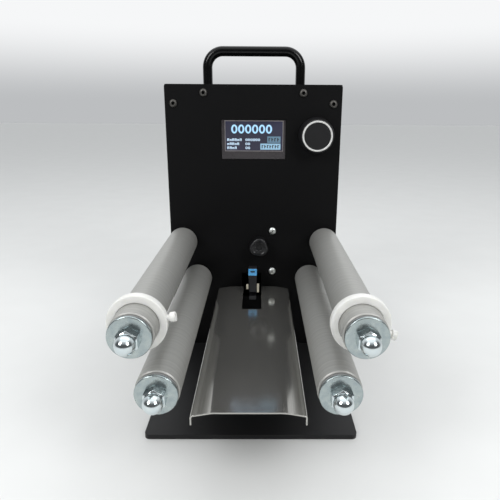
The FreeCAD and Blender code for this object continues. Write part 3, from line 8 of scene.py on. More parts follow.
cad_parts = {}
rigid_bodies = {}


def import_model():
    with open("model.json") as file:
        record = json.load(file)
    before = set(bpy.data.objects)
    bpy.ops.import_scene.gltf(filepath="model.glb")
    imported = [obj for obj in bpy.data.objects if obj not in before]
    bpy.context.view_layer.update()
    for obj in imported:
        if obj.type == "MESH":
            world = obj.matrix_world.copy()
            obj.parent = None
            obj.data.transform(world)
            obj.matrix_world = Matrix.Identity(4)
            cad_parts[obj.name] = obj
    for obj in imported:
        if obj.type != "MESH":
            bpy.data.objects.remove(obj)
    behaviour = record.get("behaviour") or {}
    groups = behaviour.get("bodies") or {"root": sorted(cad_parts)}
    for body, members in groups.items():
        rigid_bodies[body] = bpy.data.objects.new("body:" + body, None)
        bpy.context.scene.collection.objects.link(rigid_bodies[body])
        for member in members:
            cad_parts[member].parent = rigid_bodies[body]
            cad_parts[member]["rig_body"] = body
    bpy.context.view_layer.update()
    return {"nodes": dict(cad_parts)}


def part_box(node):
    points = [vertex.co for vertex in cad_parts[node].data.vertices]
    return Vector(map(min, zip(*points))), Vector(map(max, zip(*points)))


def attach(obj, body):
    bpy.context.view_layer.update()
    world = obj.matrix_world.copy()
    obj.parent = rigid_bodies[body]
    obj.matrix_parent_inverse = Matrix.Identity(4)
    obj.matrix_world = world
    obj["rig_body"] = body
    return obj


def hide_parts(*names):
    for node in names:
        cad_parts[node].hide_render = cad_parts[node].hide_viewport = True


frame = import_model()
nodes = frame["nodes"]
MM = 0.001


# ---- base plate ------------------------------------------------------------------------------
# A 4 mm steel plate with rounded corners that the whole counter stands on. It is laser cut,
# its edges are broken by hand, and it is powder coated black with a low sheen.


def linear(code):
    """Turn an sRGB hex colour into linear red, green, blue and alpha."""
    channels = [int(code[i:i + 2], 16) / 255 for i in (1, 3, 5)]
    return [c / 12.92 if c <= 0.04045 else ((c + 0.055) / 1.055) ** 2.4 for c in channels] + [1.0]


def add(tree, kind, inputs=None, **settings):
    """Add a node, set its properties, and fill or link its input sockets."""
    made = tree.nodes.new(kind)
    for name, value in settings.items():
        setattr(made, name, value)
    for name, value in (inputs or {}).items():
        if isinstance(value, bpy.types.NodeSocket):
            tree.links.new(value, made.inputs[name])
        else:
            made.inputs[name].default_value = value
    return made


def begin(name):
    """Start an empty material: its node tree and its Object coordinates."""
    made = bpy.data.materials.new(name)
    made.use_nodes = True
    made.node_tree.nodes.clear()
    place = add(made.node_tree, "ShaderNodeTexCoord").outputs["Object"]
    return made, made.node_tree, place


def close(made, tree, shader):
    """Join the shader to the material's output."""
    add(tree, "ShaderNodeOutputMaterial", {"Surface": shader.outputs[0]})
    return made


CLOUD_MM = 55.56


def powder_coat(name, dark, light, roughness, grain_mm, depth_mm, level=0.5):
    """Polyester powder coat: tiny even orange-peel dimples and a slightly uneven sheen.

    The dimples are drawn a little coarser than real, and broad clouds keep the black from
    looking flat. The level sets how strongly the coat answers the lights.
    """
    made, tree, place = begin(name)
    grain = add(tree, "ShaderNodeTexNoise",
                {"Vector": place, "Scale": 1 / (grain_mm * MM), "Detail": 2.0, "Roughness": 0.55})
    cloud = add(tree, "ShaderNodeTexNoise",
                {"Vector": place, "Scale": 1 / (CLOUD_MM * MM), "Detail": 3.0})
    colour = add(tree, "ShaderNodeMix", {"Factor": cloud.outputs["Fac"], "A": linear(dark),
                                         "B": linear(light)}, data_type="RGBA")
    sheen = add(tree, "ShaderNodeMapRange", {"Value": grain.outputs["Fac"],
                                             "To Min": roughness - 0.07, "To Max": roughness + 0.07})
    bump = add(tree, "ShaderNodeBump", {"Height": grain.outputs["Fac"], "Strength": 0.35,
                                        "Distance": depth_mm * MM})
    shader = add(tree, "ShaderNodeBsdfPrincipled",
                 {"Base Color": colour.outputs["Result"], "Roughness": sheen.outputs["Result"],
                  "Normal": bump.outputs["Normal"], "IOR": 1.5, "Specular IOR Level": level})
    return close(made, tree, shader)


def finish_piece(piece, finish, node):
    """Give a new piece its material, and let it stand for its CAD node and ride with it."""
    piece.data.materials.append(finish)
    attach(piece, nodes[node]["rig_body"])
    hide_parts(node)
    return piece


def place_mesh(name, bm, sharp=35):
    """Turn a bmesh into an object, smooth shaded except across sharp edges."""
    mesh = bpy.data.meshes.new(name)
    bm.to_mesh(mesh)
    bm.free()
    mesh.shade_smooth()
    mesh.set_sharp_from_angle(angle=math.radians(sharp))
    piece = bpy.data.objects.new(name, mesh)
    bpy.context.scene.collection.objects.link(piece)
    return piece


def break_edges(piece, width_mm, steps=2, angle=30):
    """Round a piece's sharp edges a little, as deburring or a coat of paint does.

    Only edges that turn by more than the angle, in degrees, are rounded.
    """
    bevel = piece.modifiers.new("broken edges", "BEVEL")
    bevel.limit_method = "ANGLE"
    bevel.angle_limit = math.radians(angle)
    bevel.width = width_mm * MM
    bevel.segments = steps
    bevel.harden_normals = True
    bevel.miter_outer = "MITER_ARC"
    weighted = piece.modifiers.new("flat faces stay flat", "WEIGHTED_NORMAL")
    weighted.keep_sharp = True
    return piece


def sheet_copy(name, node, width_mm, finish, steps=2):
    """A cleaned copy of a CAD piece whose edges are broken, so that they catch the light."""
    bm = bmesh.new()
    bm.from_mesh(nodes[node].data)
    bmesh.ops.remove_doubles(bm, verts=bm.verts, dist=1e-6)
    bmesh.ops.dissolve_limit(bm, angle_limit=math.radians(0.4), verts=bm.verts, edges=bm.edges)
    piece = break_edges(place_mesh(name, bm), width_mm, steps)
    return finish_piece(piece, finish, node)


base_coat = powder_coat("base powder coat", "#161617", "#1d1d1e", 0.45, 0.9, 0.05, 0.3)
sheet_copy("base_sheet", "base_plate", 0.5, base_coat, steps=3)


# ---- front panel -----------------------------------------------------------------------------
# 3 mm steel sheet bent into a foot at the bottom, laser cut for the display, the controls, the
# shafts and the sensor. It is powder coated deep matt black, which shows almost no highlight.

panel_coat = powder_coat("panel powder coat", "#080809", "#0c0c0d", 0.62, 0.8, 0.04, 0.1)
sheet_copy("panel_sheet", "front_panel", 0.35, panel_coat)


# ---- rear cover ------------------------------------------------------------------------------
# Folded 1.5 mm steel sheet: top, two sides and back in one piece, with corners folded to a small
# radius. Its black powder coat is a little glossier than the panel's, with a coarser orange peel.

cover_coat = powder_coat("cover powder coat", "#0d0d0e", "#131314", 0.5, 1.1, 0.07, 0.32)
sheet_copy("cover_sheet", "rear_cover", 0.7, cover_coat, steps=3)


# ---- carrying handle -------------------------------------------------------------------------
# A round steel bar bent cold into a wide bow, its feet tapped and screwed down from inside the
# cover. It is painted gloss black, so that it mirrors the lights in long bright lines.


RIPPLE_MM, RIPPLE_DEEP_MM = 11.11, 0.06


def gloss_paint(name, code, roughness):
    """Black enamel: smooth and wet looking, with a faint ripple in its surface."""
    made, tree, place = begin(name)
    ripple = add(tree, "ShaderNodeTexNoise",
                 {"Vector": place, "Scale": 1 / (RIPPLE_MM * MM), "Detail": 1.0})
    sheen = add(tree, "ShaderNodeMapRange", {"Value": ripple.outputs["Fac"],
                                             "To Min": roughness, "To Max": roughness + 0.1})
    bump = add(tree, "ShaderNodeBump", {"Height": ripple.outputs["Fac"], "Strength": 0.1,
                                        "Distance": RIPPLE_DEEP_MM * MM})
    shader = add(tree, "ShaderNodeBsdfPrincipled",
                 {"Base Color": linear(code), "Roughness": sheen.outputs["Result"],
                  "Normal": bump.outputs["Normal"], "IOR": 1.5, "Specular IOR Level": 0.25})
    return close(made, tree, shader)


handle_paint = gloss_paint("handle enamel", "#060607", 0.14)
low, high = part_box("handle")
BAR = (high.y - low.y) / 2
BEND = 15.25 * MM  # the bend's radius at the bar's middle
leg_x = high.x - BAR
back_y = (low.y + high.y) / 2
bar_z = high.z - BAR

bm = bmesh.new()
ring = bmesh.ops.create_circle(bm, segments=32, radius=BAR)["verts"]
bmesh.ops.translate(bm, verts=ring, vec=(-leg_x, back_y, low.z))
hoop = list(dict.fromkeys(edge for vert in ring for edge in vert.link_edges))


def pull(bm, edges, vec):
    """Extrude a ring of edges straight along a vector and return the new ring."""
    out = bmesh.ops.extrude_edge_only(bm, edges=edges)["geom"]
    verts = [item for item in out if isinstance(item, bmesh.types.BMVert)]
    bmesh.ops.translate(bm, verts=verts, vec=vec)
    return [item for item in out if isinstance(item, bmesh.types.BMEdge)
            and all(vert in verts for vert in item.verts)]


def bend_round(bm, edges, cent, axis, angle, steps=14):
    """Spin a ring of edges round a bend and return the last ring."""
    verts = list(dict.fromkeys(vert for edge in edges for vert in edge.verts))
    out = bmesh.ops.spin(bm, geom=edges + verts, cent=cent, axis=axis, angle=angle, steps=steps)
    return [item for item in out["geom_last"] if isinstance(item, bmesh.types.BMEdge)]


# Up the left leg, round the bend, across, round the other bend and down the right leg.
hoop = pull(bm, hoop, (0, 0, bar_z - BEND - low.z))
hoop = bend_round(bm, hoop, (-leg_x + BEND, back_y, bar_z - BEND), (0, 1, 0), math.pi / 2)
hoop = pull(bm, hoop, (2 * (leg_x - BEND), 0, 0))
hoop = bend_round(bm, hoop, (leg_x - BEND, back_y, bar_z - BEND), (0, 1, 0), math.pi / 2)
hoop = pull(bm, hoop, (0, 0, low.z - bar_z + BEND))
bmesh.ops.holes_fill(bm, edges=bm.edges, sides=40)
bmesh.ops.recalc_face_normals(bm, faces=bm.faces)
finish_piece(place_mesh("handle_bow", bm), handle_paint, "handle")


# ---- panel screws ----------------------------------------------------------------------------
# M4 button-head socket screws of blackened steel. The head is turned to a low dome and its
# hexagon socket is pressed in. Black oxide is thin, so the heads keep a dull grey metal shine.


def metal(name, dark, light, roughness, spread, patch_mm, depth_mm=0.0):
    """Plated or plain metal: a colour that drifts between two tones, and an uneven polish."""
    made, tree, place = begin(name)
    patches = add(tree, "ShaderNodeTexNoise",
                  {"Vector": place, "Scale": 1 / (patch_mm * MM), "Detail": 4.0})
    colour = add(tree, "ShaderNodeMix", {"Factor": patches.outputs["Fac"], "A": linear(dark),
                                         "B": linear(light)}, data_type="RGBA")
    polish = add(tree, "ShaderNodeMapRange", {"Value": patches.outputs["Fac"],
                                              "To Min": roughness - spread,
                                              "To Max": roughness + spread})
    bump = add(tree, "ShaderNodeBump", {"Height": patches.outputs["Fac"], "Strength": 0.2,
                                        "Distance": depth_mm * MM})
    shader = add(tree, "ShaderNodeBsdfPrincipled",
                 {"Base Color": colour.outputs["Result"], "Metallic": 1.0,
                  "Roughness": polish.outputs["Result"], "Normal": bump.outputs["Normal"]})
    return close(made, tree, shader)


def turn(bm, profile, centre, steps):
    """Spin a (radius, y) profile in millimetres round the Y line through a centre."""
    verts = [bm.verts.new((centre[0] + r * MM, y * MM, centre[2])) for r, y in profile]
    edges = [bm.edges.new(pair) for pair in zip(verts, verts[1:])]
    bmesh.ops.spin(bm, geom=verts + edges, cent=(centre[0], 0, centre[2]), axis=(0, 1, 0),
                   angle=2 * math.pi, steps=steps, use_merge=True)
    bmesh.ops.remove_doubles(bm, verts=bm.verts, dist=1e-7)
    bmesh.ops.recalc_face_normals(bm, faces=bm.faces)


def arc(centre, radius, start, end, count):
    """Points of a profile along an arc, in degrees."""
    angles = [math.radians(start + (end - start) * i / count) for i in range(count + 1)]
    return [(centre[0] + radius * math.cos(a), centre[1] + radius * math.sin(a)) for a in angles]


def islands(node):
    """The low and high corners of each separate solid of a CAD node, always in one order."""
    bm = bmesh.new()
    bm.from_mesh(nodes[node].data)
    bmesh.ops.remove_doubles(bm, verts=bm.verts, dist=1e-6)
    left = set(bm.verts)
    found = []
    while left:
        grown = [left.pop()]
        for vert in grown:
            for edge in vert.link_edges:
                other = edge.other_vert(vert)
                if other in left:
                    left.remove(other)
                    grown.append(other)
        points = [vert.co for vert in grown]
        corners = [Vector([pick(p[i] for p in points) for i in range(3)]) for pick in (min, max)]
        found.append(corners)
    bm.free()
    return sorted(found, key=lambda corners: (round(corners[0].z, 3), corners[0].x, corners[0].y))


black_oxide = metal("black oxide steel", "#4a4947", "#656360", 0.46, 0.08, 2.0)
# The socket's walls and floor are painted near black: painted shade added to the shade the real
# recess casts.
socket_painted_shade = metal("socket painted shade", "#0c0c0c", "#161616", 0.5, 0.05, 2.0)
HEAD_R, HEAD_HIGH, SHANK_R, SHANK_LONG = 3.8, 2.2, 2.0, 8.0
HEX_R, HEX_RIM, HEX_DEEP = 1.45, 1.62, 1.5
for number, (low, high) in enumerate(islands("panel_screws")):
    centre = ((low.x + high.x) / 2, 0, (low.z + high.z) / 2)
    bm = bmesh.new()
    turn(bm, [
        (1.6, -HEAD_HIGH), (2.0, -2.15), (2.6, -1.95), (3.2, -1.5), (3.6, -0.95),
        (HEAD_R, -0.4), (HEAD_R, 0.0), (SHANK_R, 0.0), (SHANK_R, SHANK_LONG),
        (1.6, SHANK_LONG), (1.6, -HEAD_HIGH),
    ], centre, 48)
    finish_piece(place_mesh(f"button_screw_{number}", bm, 50), black_oxide, "panel_screws")
    # The hexagon socket is cut as a real recess and finished in the painted shade.
    bm = bmesh.new()
    turned_hex = Matrix.Rotation(math.radians(11 + 17 * number), 4, "Y")
    bmesh.ops.create_circle(bm, segments=6, radius=HEX_R * MM)
    ring = bm.edges[:]
    bmesh.ops.create_circle(bm, segments=48, radius=HEX_RIM * MM)
    bmesh.ops.bridge_loops(bm, edges=bm.edges[:])
    walls = pull(bm, ring, (0, 0, -HEX_DEEP * MM))
    bmesh.ops.contextual_create(bm, geom=walls)
    stand = Matrix.Rotation(math.pi / 2, 4, "X")
    at = Matrix.Translation((centre[0], (0.01 - HEAD_HIGH) * MM, centre[2]))
    bmesh.ops.transform(bm, verts=bm.verts, matrix=at @ turned_hex @ stand)
    bmesh.ops.recalc_face_normals(bm, faces=bm.faces)
    finish_piece(place_mesh(f"hex_socket_{number}", bm, 30), socket_painted_shade, "panel_screws")


# ---- rollers ---------------------------------------------------------------------------------
# Four aluminium tubes, 28 mm across, turned to size on a lathe. The tool leaves rings too fine
# to count, which give the satin surface its soft lines. The end edges are chamfered bright.


BROAD_MM, SMEAR_MM = 2.222, 14.29


def turned_aluminium(name, dark, light, roughness, ring_mm):
    """Lathe-turned aluminium: fine rings across the axis, drawn coarser than real to show.

    The tone follows the rings times a broader band, so that they come and go along the tube,
    and smears of handling make the polish uneven.
    """
    made, tree, place = begin(name)
    along = add(tree, "ShaderNodeSeparateXYZ", {"Vector": place}).outputs["Y"]
    rings = add(tree, "ShaderNodeTexNoise", {"W": along, "Scale": 1 / (ring_mm * MM),
                                             "Detail": 3.0}, noise_dimensions="1D")
    broad = add(tree, "ShaderNodeTexNoise", {"W": along, "Scale": 1 / (BROAD_MM * MM),
                                             "Detail": 3.0}, noise_dimensions="1D")
    smear = add(tree, "ShaderNodeTexNoise",
                {"Vector": place, "Scale": 1 / (SMEAR_MM * MM), "Detail": 4.0})
    uneven = add(tree, "ShaderNodeMath", {0: rings.outputs["Fac"], 1: broad.outputs["Fac"],
                                          2: -0.5}, operation="MULTIPLY_ADD")
    shade = add(tree, "ShaderNodeMapRange", {"Value": uneven.outputs[0], "From Min": -0.4,
                                             "From Max": -0.1})
    tone = add(tree, "ShaderNodeMix", {"Factor": shade.outputs["Result"], "A": linear(dark),
                                       "B": linear(light)}, data_type="RGBA")
    mixed = add(tree, "ShaderNodeMath", {0: rings.outputs["Fac"], 1: smear.outputs["Fac"]},
                operation="ADD")
    polish = add(tree, "ShaderNodeMapRange", {"Value": mixed.outputs[0], "From Max": 2.0,
                                              "To Min": roughness - 0.08,
                                              "To Max": roughness + 0.08})
    bump = add(tree, "ShaderNodeBump", {"Height": rings.outputs["Fac"], "Strength": 0.25,
                                        "Distance": 0.02 * MM})
    shader = add(tree, "ShaderNodeBsdfPrincipled",
                 {"Base Color": tone.outputs["Result"], "Metallic": 0.55,
                  "Roughness": polish.outputs["Result"], "Normal": bump.outputs["Normal"]})
    return close(made, tree, shader)


CORNERS = ("upper_left", "upper_right", "lower_left", "lower_right")
satin_tube = turned_aluminium("turned aluminium", "#a0a09d", "#afafab", 0.5, 0.9)
WALL, CHAMFER, BANDS = 3, 0.8, 8
for corner in CORNERS:
    node = f"roller_tube_{corner}"
    low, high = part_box(node)
    centre = (low + high) / 2
    outer = (high.x - low.x) / 2 / MM
    back, tip = high.y / MM, low.y / MM
    bm = bmesh.new()
    run = tip - back + 2 * CHAMFER
    turn(bm, [
        (outer - WALL, back), (outer - CHAMFER, back), (outer, back - CHAMFER),
        *[(outer, back - CHAMFER + run * i / BANDS) for i in range(1, BANDS)],
        (outer, tip + CHAMFER), (outer - CHAMFER, tip), (outer - WALL, tip),
        (outer - WALL, back),
    ], centre, 128)
    piece = break_edges(place_mesh(f"tube_{corner}", bm), 0.12)
    finish_piece(piece, satin_tube, node)


# ---- roller end bushes -----------------------------------------------------------------------
# Moulded grey acetal plugs pressed into each tube, with a dull and slightly waxy sheen. Their
# flange stands between the tube's end and the large washer, and a ball bearing sits inside.

DRIFT_MM = 11.11


def moulded(name, code, other, roughness, grain_mm, depth_mm, level=0.5, **extra):
    """Moulded plastic: a fine spark-eroded grain and colour that drifts a little.

    The grain is drawn coarser than real to show. Extra settings are shader sockets by name.
    """
    made, tree, place = begin(name)
    grain = add(tree, "ShaderNodeTexNoise",
                {"Vector": place, "Scale": 1 / (grain_mm * MM), "Detail": 2.0})
    drift = add(tree, "ShaderNodeTexNoise",
                {"Vector": place, "Scale": 1 / (DRIFT_MM * MM), "Detail": 2.0})
    colour = add(tree, "ShaderNodeMix", {"Factor": drift.outputs["Fac"], "A": linear(code),
                                         "B": linear(other)}, data_type="RGBA")
    sheen = add(tree, "ShaderNodeMapRange", {"Value": grain.outputs["Fac"],
                                             "To Min": roughness - 0.06,
                                             "To Max": roughness + 0.06})
    bump = add(tree, "ShaderNodeBump", {"Height": grain.outputs["Fac"], "Strength": 0.3,
                                        "Distance": depth_mm * MM})
    sockets = {label.replace("_", " ").title(): value for label, value in extra.items()}
    shader = add(tree, "ShaderNodeBsdfPrincipled",
                 {"Base Color": colour.outputs["Result"], "Roughness": sheen.outputs["Result"],
                  "Normal": bump.outputs["Normal"], "Specular IOR Level": level, **sockets})
    return close(made, tree, shader)


grey_acetal = moulded("grey acetal", "#7d7e7f", "#8a8b8b", 0.4, 0.7, 0.02)
for corner in CORNERS:
    node = f"roller_bushes_{corner}"
    for low, high in islands(node):
        centre = (low + high) / 2
        outward = -1 if centre.y < -0.1 else 1
        face = (low.y if outward < 0 else high.y) / MM
        bm = bmesh.new()
        # The flange, then the plug in the tube's bore, the shaft's hole and the bearing's seat.
        profile = [(8.05, 0), (12.4, 0), (12.8, 0.4), (12.8, 1.5), (12.2, 2.0), (11.0, 2.0),
                   (11.0, 11.7), (10.6, 12.0), (5.5, 12.0), (5.5, 5.0), (8.05, 5.0), (8.05, 0)]
        turn(bm, [(r, face - outward * depth) for r, depth in profile], centre, 96)
        end = "front" if outward < 0 else "back"
        piece = break_edges(place_mesh(f"end_bush_{corner}_{end}", bm), 0.1)
        finish_piece(piece, grey_acetal, node)


# ---- large washers and cap nuts --------------------------------------------------------------
# Bright zinc-plated steel: 27 mm washers punched from sheet, and domed M8 cap nuts on top. The
# zinc is bluish white and mirror-like on the domes, with a cloudier face on the washers.

zinc_plate = metal("bright zinc", "#c4d0d6", "#dde3e2", 0.13, 0.05, 5.0, 0.01)
zinc_washer = metal("zinc washer", "#87949a", "#bcc4c1", 0.25, 0.07, 3.5, 0.03)
BOLT_R, WASHER_R, PUNCHED = 4.05, 13.5, 0.75
for low, high in islands("roller_washers"):
    centre = (low + high) / 2
    back, tip = high.y / MM, low.y / MM
    bm = bmesh.new()
    turn(bm, [
        (BOLT_R, back), (13.3, back), (WASHER_R, back - 0.2), (WASHER_R, tip + PUNCHED),
        *arc((WASHER_R - PUNCHED, tip + PUNCHED), PUNCHED, 0, -90, 5),
        (BOLT_R, tip), (BOLT_R, back),
    ], centre, 96)
    name = f"washer_{round(centre.x / MM)}_{round(centre.z / MM)}".replace("-", "m")
    finish_piece(place_mesh(name, bm), zinc_washer, "roller_washers")

FLATS, CORNER_R, DOME_R, HEX_HIGH = 13.0, 7.45, 6.2, 6.5
for low, high in islands("cap_nuts"):
    centre = (low + high) / 2
    seat, tip = high.y / MM, low.y / MM
    neck = seat - HEX_HIGH
    dome_y = tip + DOME_R
    bm = bmesh.new()
    turn(bm, [
        (BOLT_R, seat - 10.5), (BOLT_R, seat), (6.25, seat), (CORNER_R, seat - 0.75),
        (CORNER_R, neck + 0.75), (6.3, neck), (5.95, neck - 0.25),
        (DOME_R, neck - 0.8), *arc((0, dome_y), DOME_R, 0, -90, 16), (0, tip),
    ], centre, 96)
    # Mill the six flats off the turned blank.
    for i in range(6):
        angle = math.radians(60 * i)
        outward = Vector((math.cos(angle), 0, math.sin(angle)))
        cut = bmesh.ops.bisect_plane(
            bm, geom=bm.verts[:] + bm.edges[:] + bm.faces[:], dist=1e-7,
            plane_co=Vector((centre.x, 0, centre.z)) + outward * FLATS / 2 * MM,
            plane_no=outward, clear_outer=True)
        rim = [item for item in cut["geom_cut"] if isinstance(item, bmesh.types.BMEdge)]
        bmesh.ops.contextual_create(bm, geom=rim)
    bmesh.ops.recalc_face_normals(bm, faces=bm.faces)
    name = f"domed_nut_{round(centre.x / MM)}_{round(centre.z / MM)}".replace("-", "m")
    piece = break_edges(place_mesh(name, bm, 25), 0.18, steps=2, angle=28)
    finish_piece(piece, zinc_plate, "cap_nuts")


# ---- guide collars and thumb screws ----------------------------------------------------------
# Rings turned from natural nylon, slid along the upper tubes to guide the edge of the strip. A
# nylon cheese-head screw in each rim locks it. Nylon lets light in a little way, so it glows.

natural_nylon = moulded("natural nylon", "#d8d8d5", "#e3e3e0", 0.45, 1.2, 0.03,
                        subsurface_weight=0.35, subsurface_radius=(0.004, 0.004, 0.0035),
                        subsurface_scale=0.6)
COLLAR_SOFT = 0.8
for side, tilt in (("left", 10), ("right", -21)):
    node = f"guide_collar_{side}"
    low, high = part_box(node)
    centre = (low + high) / 2
    back, tip = high.y / MM, low.y / MM
    bm = bmesh.new()
    turn(bm, [
        (14.05, back - 0.4), (14.45, back),
        *arc((18.2, back - COLLAR_SOFT), COLLAR_SOFT, 90, 0, 4),
        *arc((18.2, tip + COLLAR_SOFT), COLLAR_SOFT, 0, -90, 4),
        (14.45, tip), (14.05, tip + 0.4), (14.05, back - 0.4),
    ], centre, 128)
    finish_piece(place_mesh(f"nylon_collar_{side}", bm, 45), natural_nylon, node)

    # The screw is turned on the Y line, its face closed flat, then laid out along the radius.
    bm = bmesh.new()
    turn(bm, [
        (0, -14.3), (1.7, -14.3), (2.0, -14.7), (2.0, -20.9), (2.35, -21.0), (3.0, -21.0),
        (3.15, -21.15), (3.15, -24.1), *arc((2.65, -24.0), 0.5, 0, -90, 3), (0, -24.5),
    ], Vector((0, 0, 0)), 48)
    head = [face for face in bm.faces if face.calc_center_median().y < -24.4 * MM]
    bmesh.ops.delete(bm, geom=head, context="FACES")
    rim = [edge for edge in bm.edges if edge.is_boundary]
    bmesh.ops.contextual_create(bm, geom=rim)
    turned_up = Matrix.Rotation(math.radians(-tilt), 4, "Y") @ Matrix.Rotation(math.pi / 2, 4, "Z")
    middle = Vector((centre.x, (low.y + high.y) / 2, centre.z))
    bmesh.ops.transform(bm, verts=bm.verts, matrix=Matrix.Translation(middle) @ turned_up)
    finish_piece(place_mesh(f"nylon_thumb_{side}", bm), natural_nylon, f"thumb_screw_{side}")


# ---- display ---------------------------------------------------------------------------------
# A small glass graphic display set just below the panel's face. Its lit field fills the top, with
# a darker contact band along the bottom edge, and its dots glow a cold bluish white.

low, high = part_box("display_glass")
middle_x = (low.x + high.x) / 2
FIELD_W, FIELD_H = 55.0 * MM, 28.2 * MM
FIELD_TOP = high.z - 0.9 * MM
GLASS_Y = low.y
CAST_MM, DOT_MM = 18.18, 1.111


def display_glass(name, dark, light, roughness):
    """Cover glass over dark layers: smooth, with a purple-grey cast that drifts."""
    made, tree, place = begin(name)
    cast = add(tree, "ShaderNodeTexNoise",
               {"Vector": place, "Scale": 1 / (CAST_MM * MM), "Detail": 2.0})
    colour = add(tree, "ShaderNodeMix", {"Factor": cast.outputs["Fac"], "A": linear(dark),
                                         "B": linear(light)}, data_type="RGBA")
    shader = add(tree, "ShaderNodeBsdfPrincipled",
                 {"Base Color": colour.outputs["Result"], "Roughness": roughness, "IOR": 1.5,
                  "Coat Weight": 0.6, "Coat Roughness": 0.05})
    return close(made, tree, shader)


def glow(name, code, strength):
    """A layer of lit dots: a little uneven, as each dot's brightness differs."""
    made, tree, place = begin(name)
    uneven = add(tree, "ShaderNodeTexNoise",
                 {"Vector": place, "Scale": 1 / (DOT_MM * MM), "Detail": 1.0})
    level = add(tree, "ShaderNodeMapRange", {"Value": uneven.outputs["Fac"],
                                             "To Min": strength * 0.8, "To Max": strength * 1.2})
    shader = add(tree, "ShaderNodeBsdfPrincipled",
                 {"Base Color": linear("#30343a"), "Roughness": 0.3,
                  "Emission Color": linear(code), "Emission Strength": level.outputs["Result"]})
    return close(made, tree, shader)


contact_glass = display_glass("contact band glass", "#262225", "#302b2e", 0.22)
sheet_copy("glass_plate", "display_glass", 0.25, contact_glass)


def plate(bm, left, right, bottom, top, front_y, thick):
    """Add a thin upright plate to a bmesh from its edges, facing the front."""
    size = (right - left, thick, top - bottom)
    made = bmesh.ops.create_cube(bm, size=1.0)["verts"]
    bmesh.ops.scale(bm, verts=made, vec=size)
    middle = ((left + right) / 2, front_y + thick / 2, (bottom + top) / 2)
    bmesh.ops.translate(bm, verts=made, vec=middle)


def on_display(name, bm, finish):
    """Finish a layer of the display."""
    return finish_piece(place_mesh(name, bm), finish, "display_glass")


# Each layer stands a little in front of the last, so that none shares a face with another.
FIELD_Y, LINE_Y, BLOCK_Y = (GLASS_Y - out * MM for out in (0.05, 0.08, 0.12))
ZERO_Y, MARK_Y = (GLASS_Y - out * MM for out in (0.14, 0.16))
LAYER, INK = 0.1 * MM, 0.03 * MM
field_left = middle_x - FIELD_W / 2 + 0.5 * MM
bm = bmesh.new()
plate(bm, field_left, field_left + FIELD_W, FIELD_TOP - FIELD_H, FIELD_TOP, FIELD_Y, LAYER)
on_display("lit_field", bm, display_glass("lit field glass", "#1f1f2d", "#31314a", 0.25))

# A thin pale line all the way round the field is a painted highlight, for the light its edge
# catches.
bm = bmesh.new()
LINE = 0.55 * MM
for top in (FIELD_TOP, FIELD_TOP - FIELD_H + LINE):
    plate(bm, field_left, field_left + FIELD_W, top - LINE, top, LINE_Y, LAYER)
for x in (field_left, field_left + FIELD_W - LINE):
    plate(bm, x, x + LINE, FIELD_TOP - FIELD_H + LINE, FIELD_TOP - LINE, LINE_Y, LAYER)
on_display("field_edge_highlight", bm, display_glass("field edge painted highlight", "#6d6869", "#8b8787", 0.35))


def zeros(bm, left, pitch, count, width, height, middle_z):
    """A row of zeros, each an upright oval ring that lies on the glass."""
    for i in range(count):
        oval = bmesh.ops.create_circle(bm, segments=32, radius=1.0)["verts"]
        bmesh.ops.scale(bm, verts=oval, vec=(width / 2, height / 2, 1))
        rim = list(dict.fromkeys(edge for vert in oval for edge in vert.link_edges))
        inner = bmesh.ops.extrude_edge_only(bm, edges=rim)["geom"]
        inner = [item for item in inner if isinstance(item, bmesh.types.BMVert)]
        bmesh.ops.scale(bm, verts=inner, vec=(0.44, 0.62, 1))
        centre = Vector((left + i * pitch, ZERO_Y, middle_z))
        upright = Matrix.Translation(centre) @ Matrix.Rotation(math.pi / 2, 4, "X")
        bmesh.ops.transform(bm, verts=oval + inner, matrix=upright)
    bmesh.ops.solidify(bm, geom=bm.faces[:], thickness=0.04 * MM)
    bmesh.ops.recalc_face_normals(bm, faces=bm.faces)


# The count is six large zeros.
bm = bmesh.new()
zeros(bm, field_left + 9.0 * MM, 6.5 * MM, 6, 5.9 * MM, 8.2 * MM, FIELD_TOP - 7.7 * MM)
on_display("count_digits", bm, glow("lit dots", "#a4d2f6", 1.15))

# Three rows of small marks stand for labels, with small zeros beside them.
marks = bmesh.new()
small_zeros = bmesh.new()
ROW_H, CELL, GAP, STROKE = 2.3 * MM, 1.8 * MM, 0.55 * MM, 0.65 * MM
for row, (label, digits) in enumerate(((6, 6), (5, 2), (4, 2))):
    foot = FIELD_TOP - (18.7 + row * 3.75) * MM
    for i in range(label):
        x = field_left + 2.2 * MM + i * (CELL + GAP)
        tall = ROW_H * (0.72 if (i + row) % 3 == 1 else 1.0)
        for left in (x, x + CELL - STROKE):
            plate(marks, left, left + STROKE, foot, foot + tall, MARK_Y, INK)
        plate(marks, x + STROKE, x + CELL - STROKE, foot + tall - 0.6 * MM, foot + tall,
              MARK_Y, INK)
    zeros(small_zeros, field_left + 20.4 * MM, CELL + GAP, digits, 2.1 * MM, ROW_H,
          foot + ROW_H / 2)
dim_dots = glow("dim dots", "#b4cce0", 1.45)
on_display("small_marks", marks, dim_dots)
on_display("small_zeros", small_zeros, dim_dots)

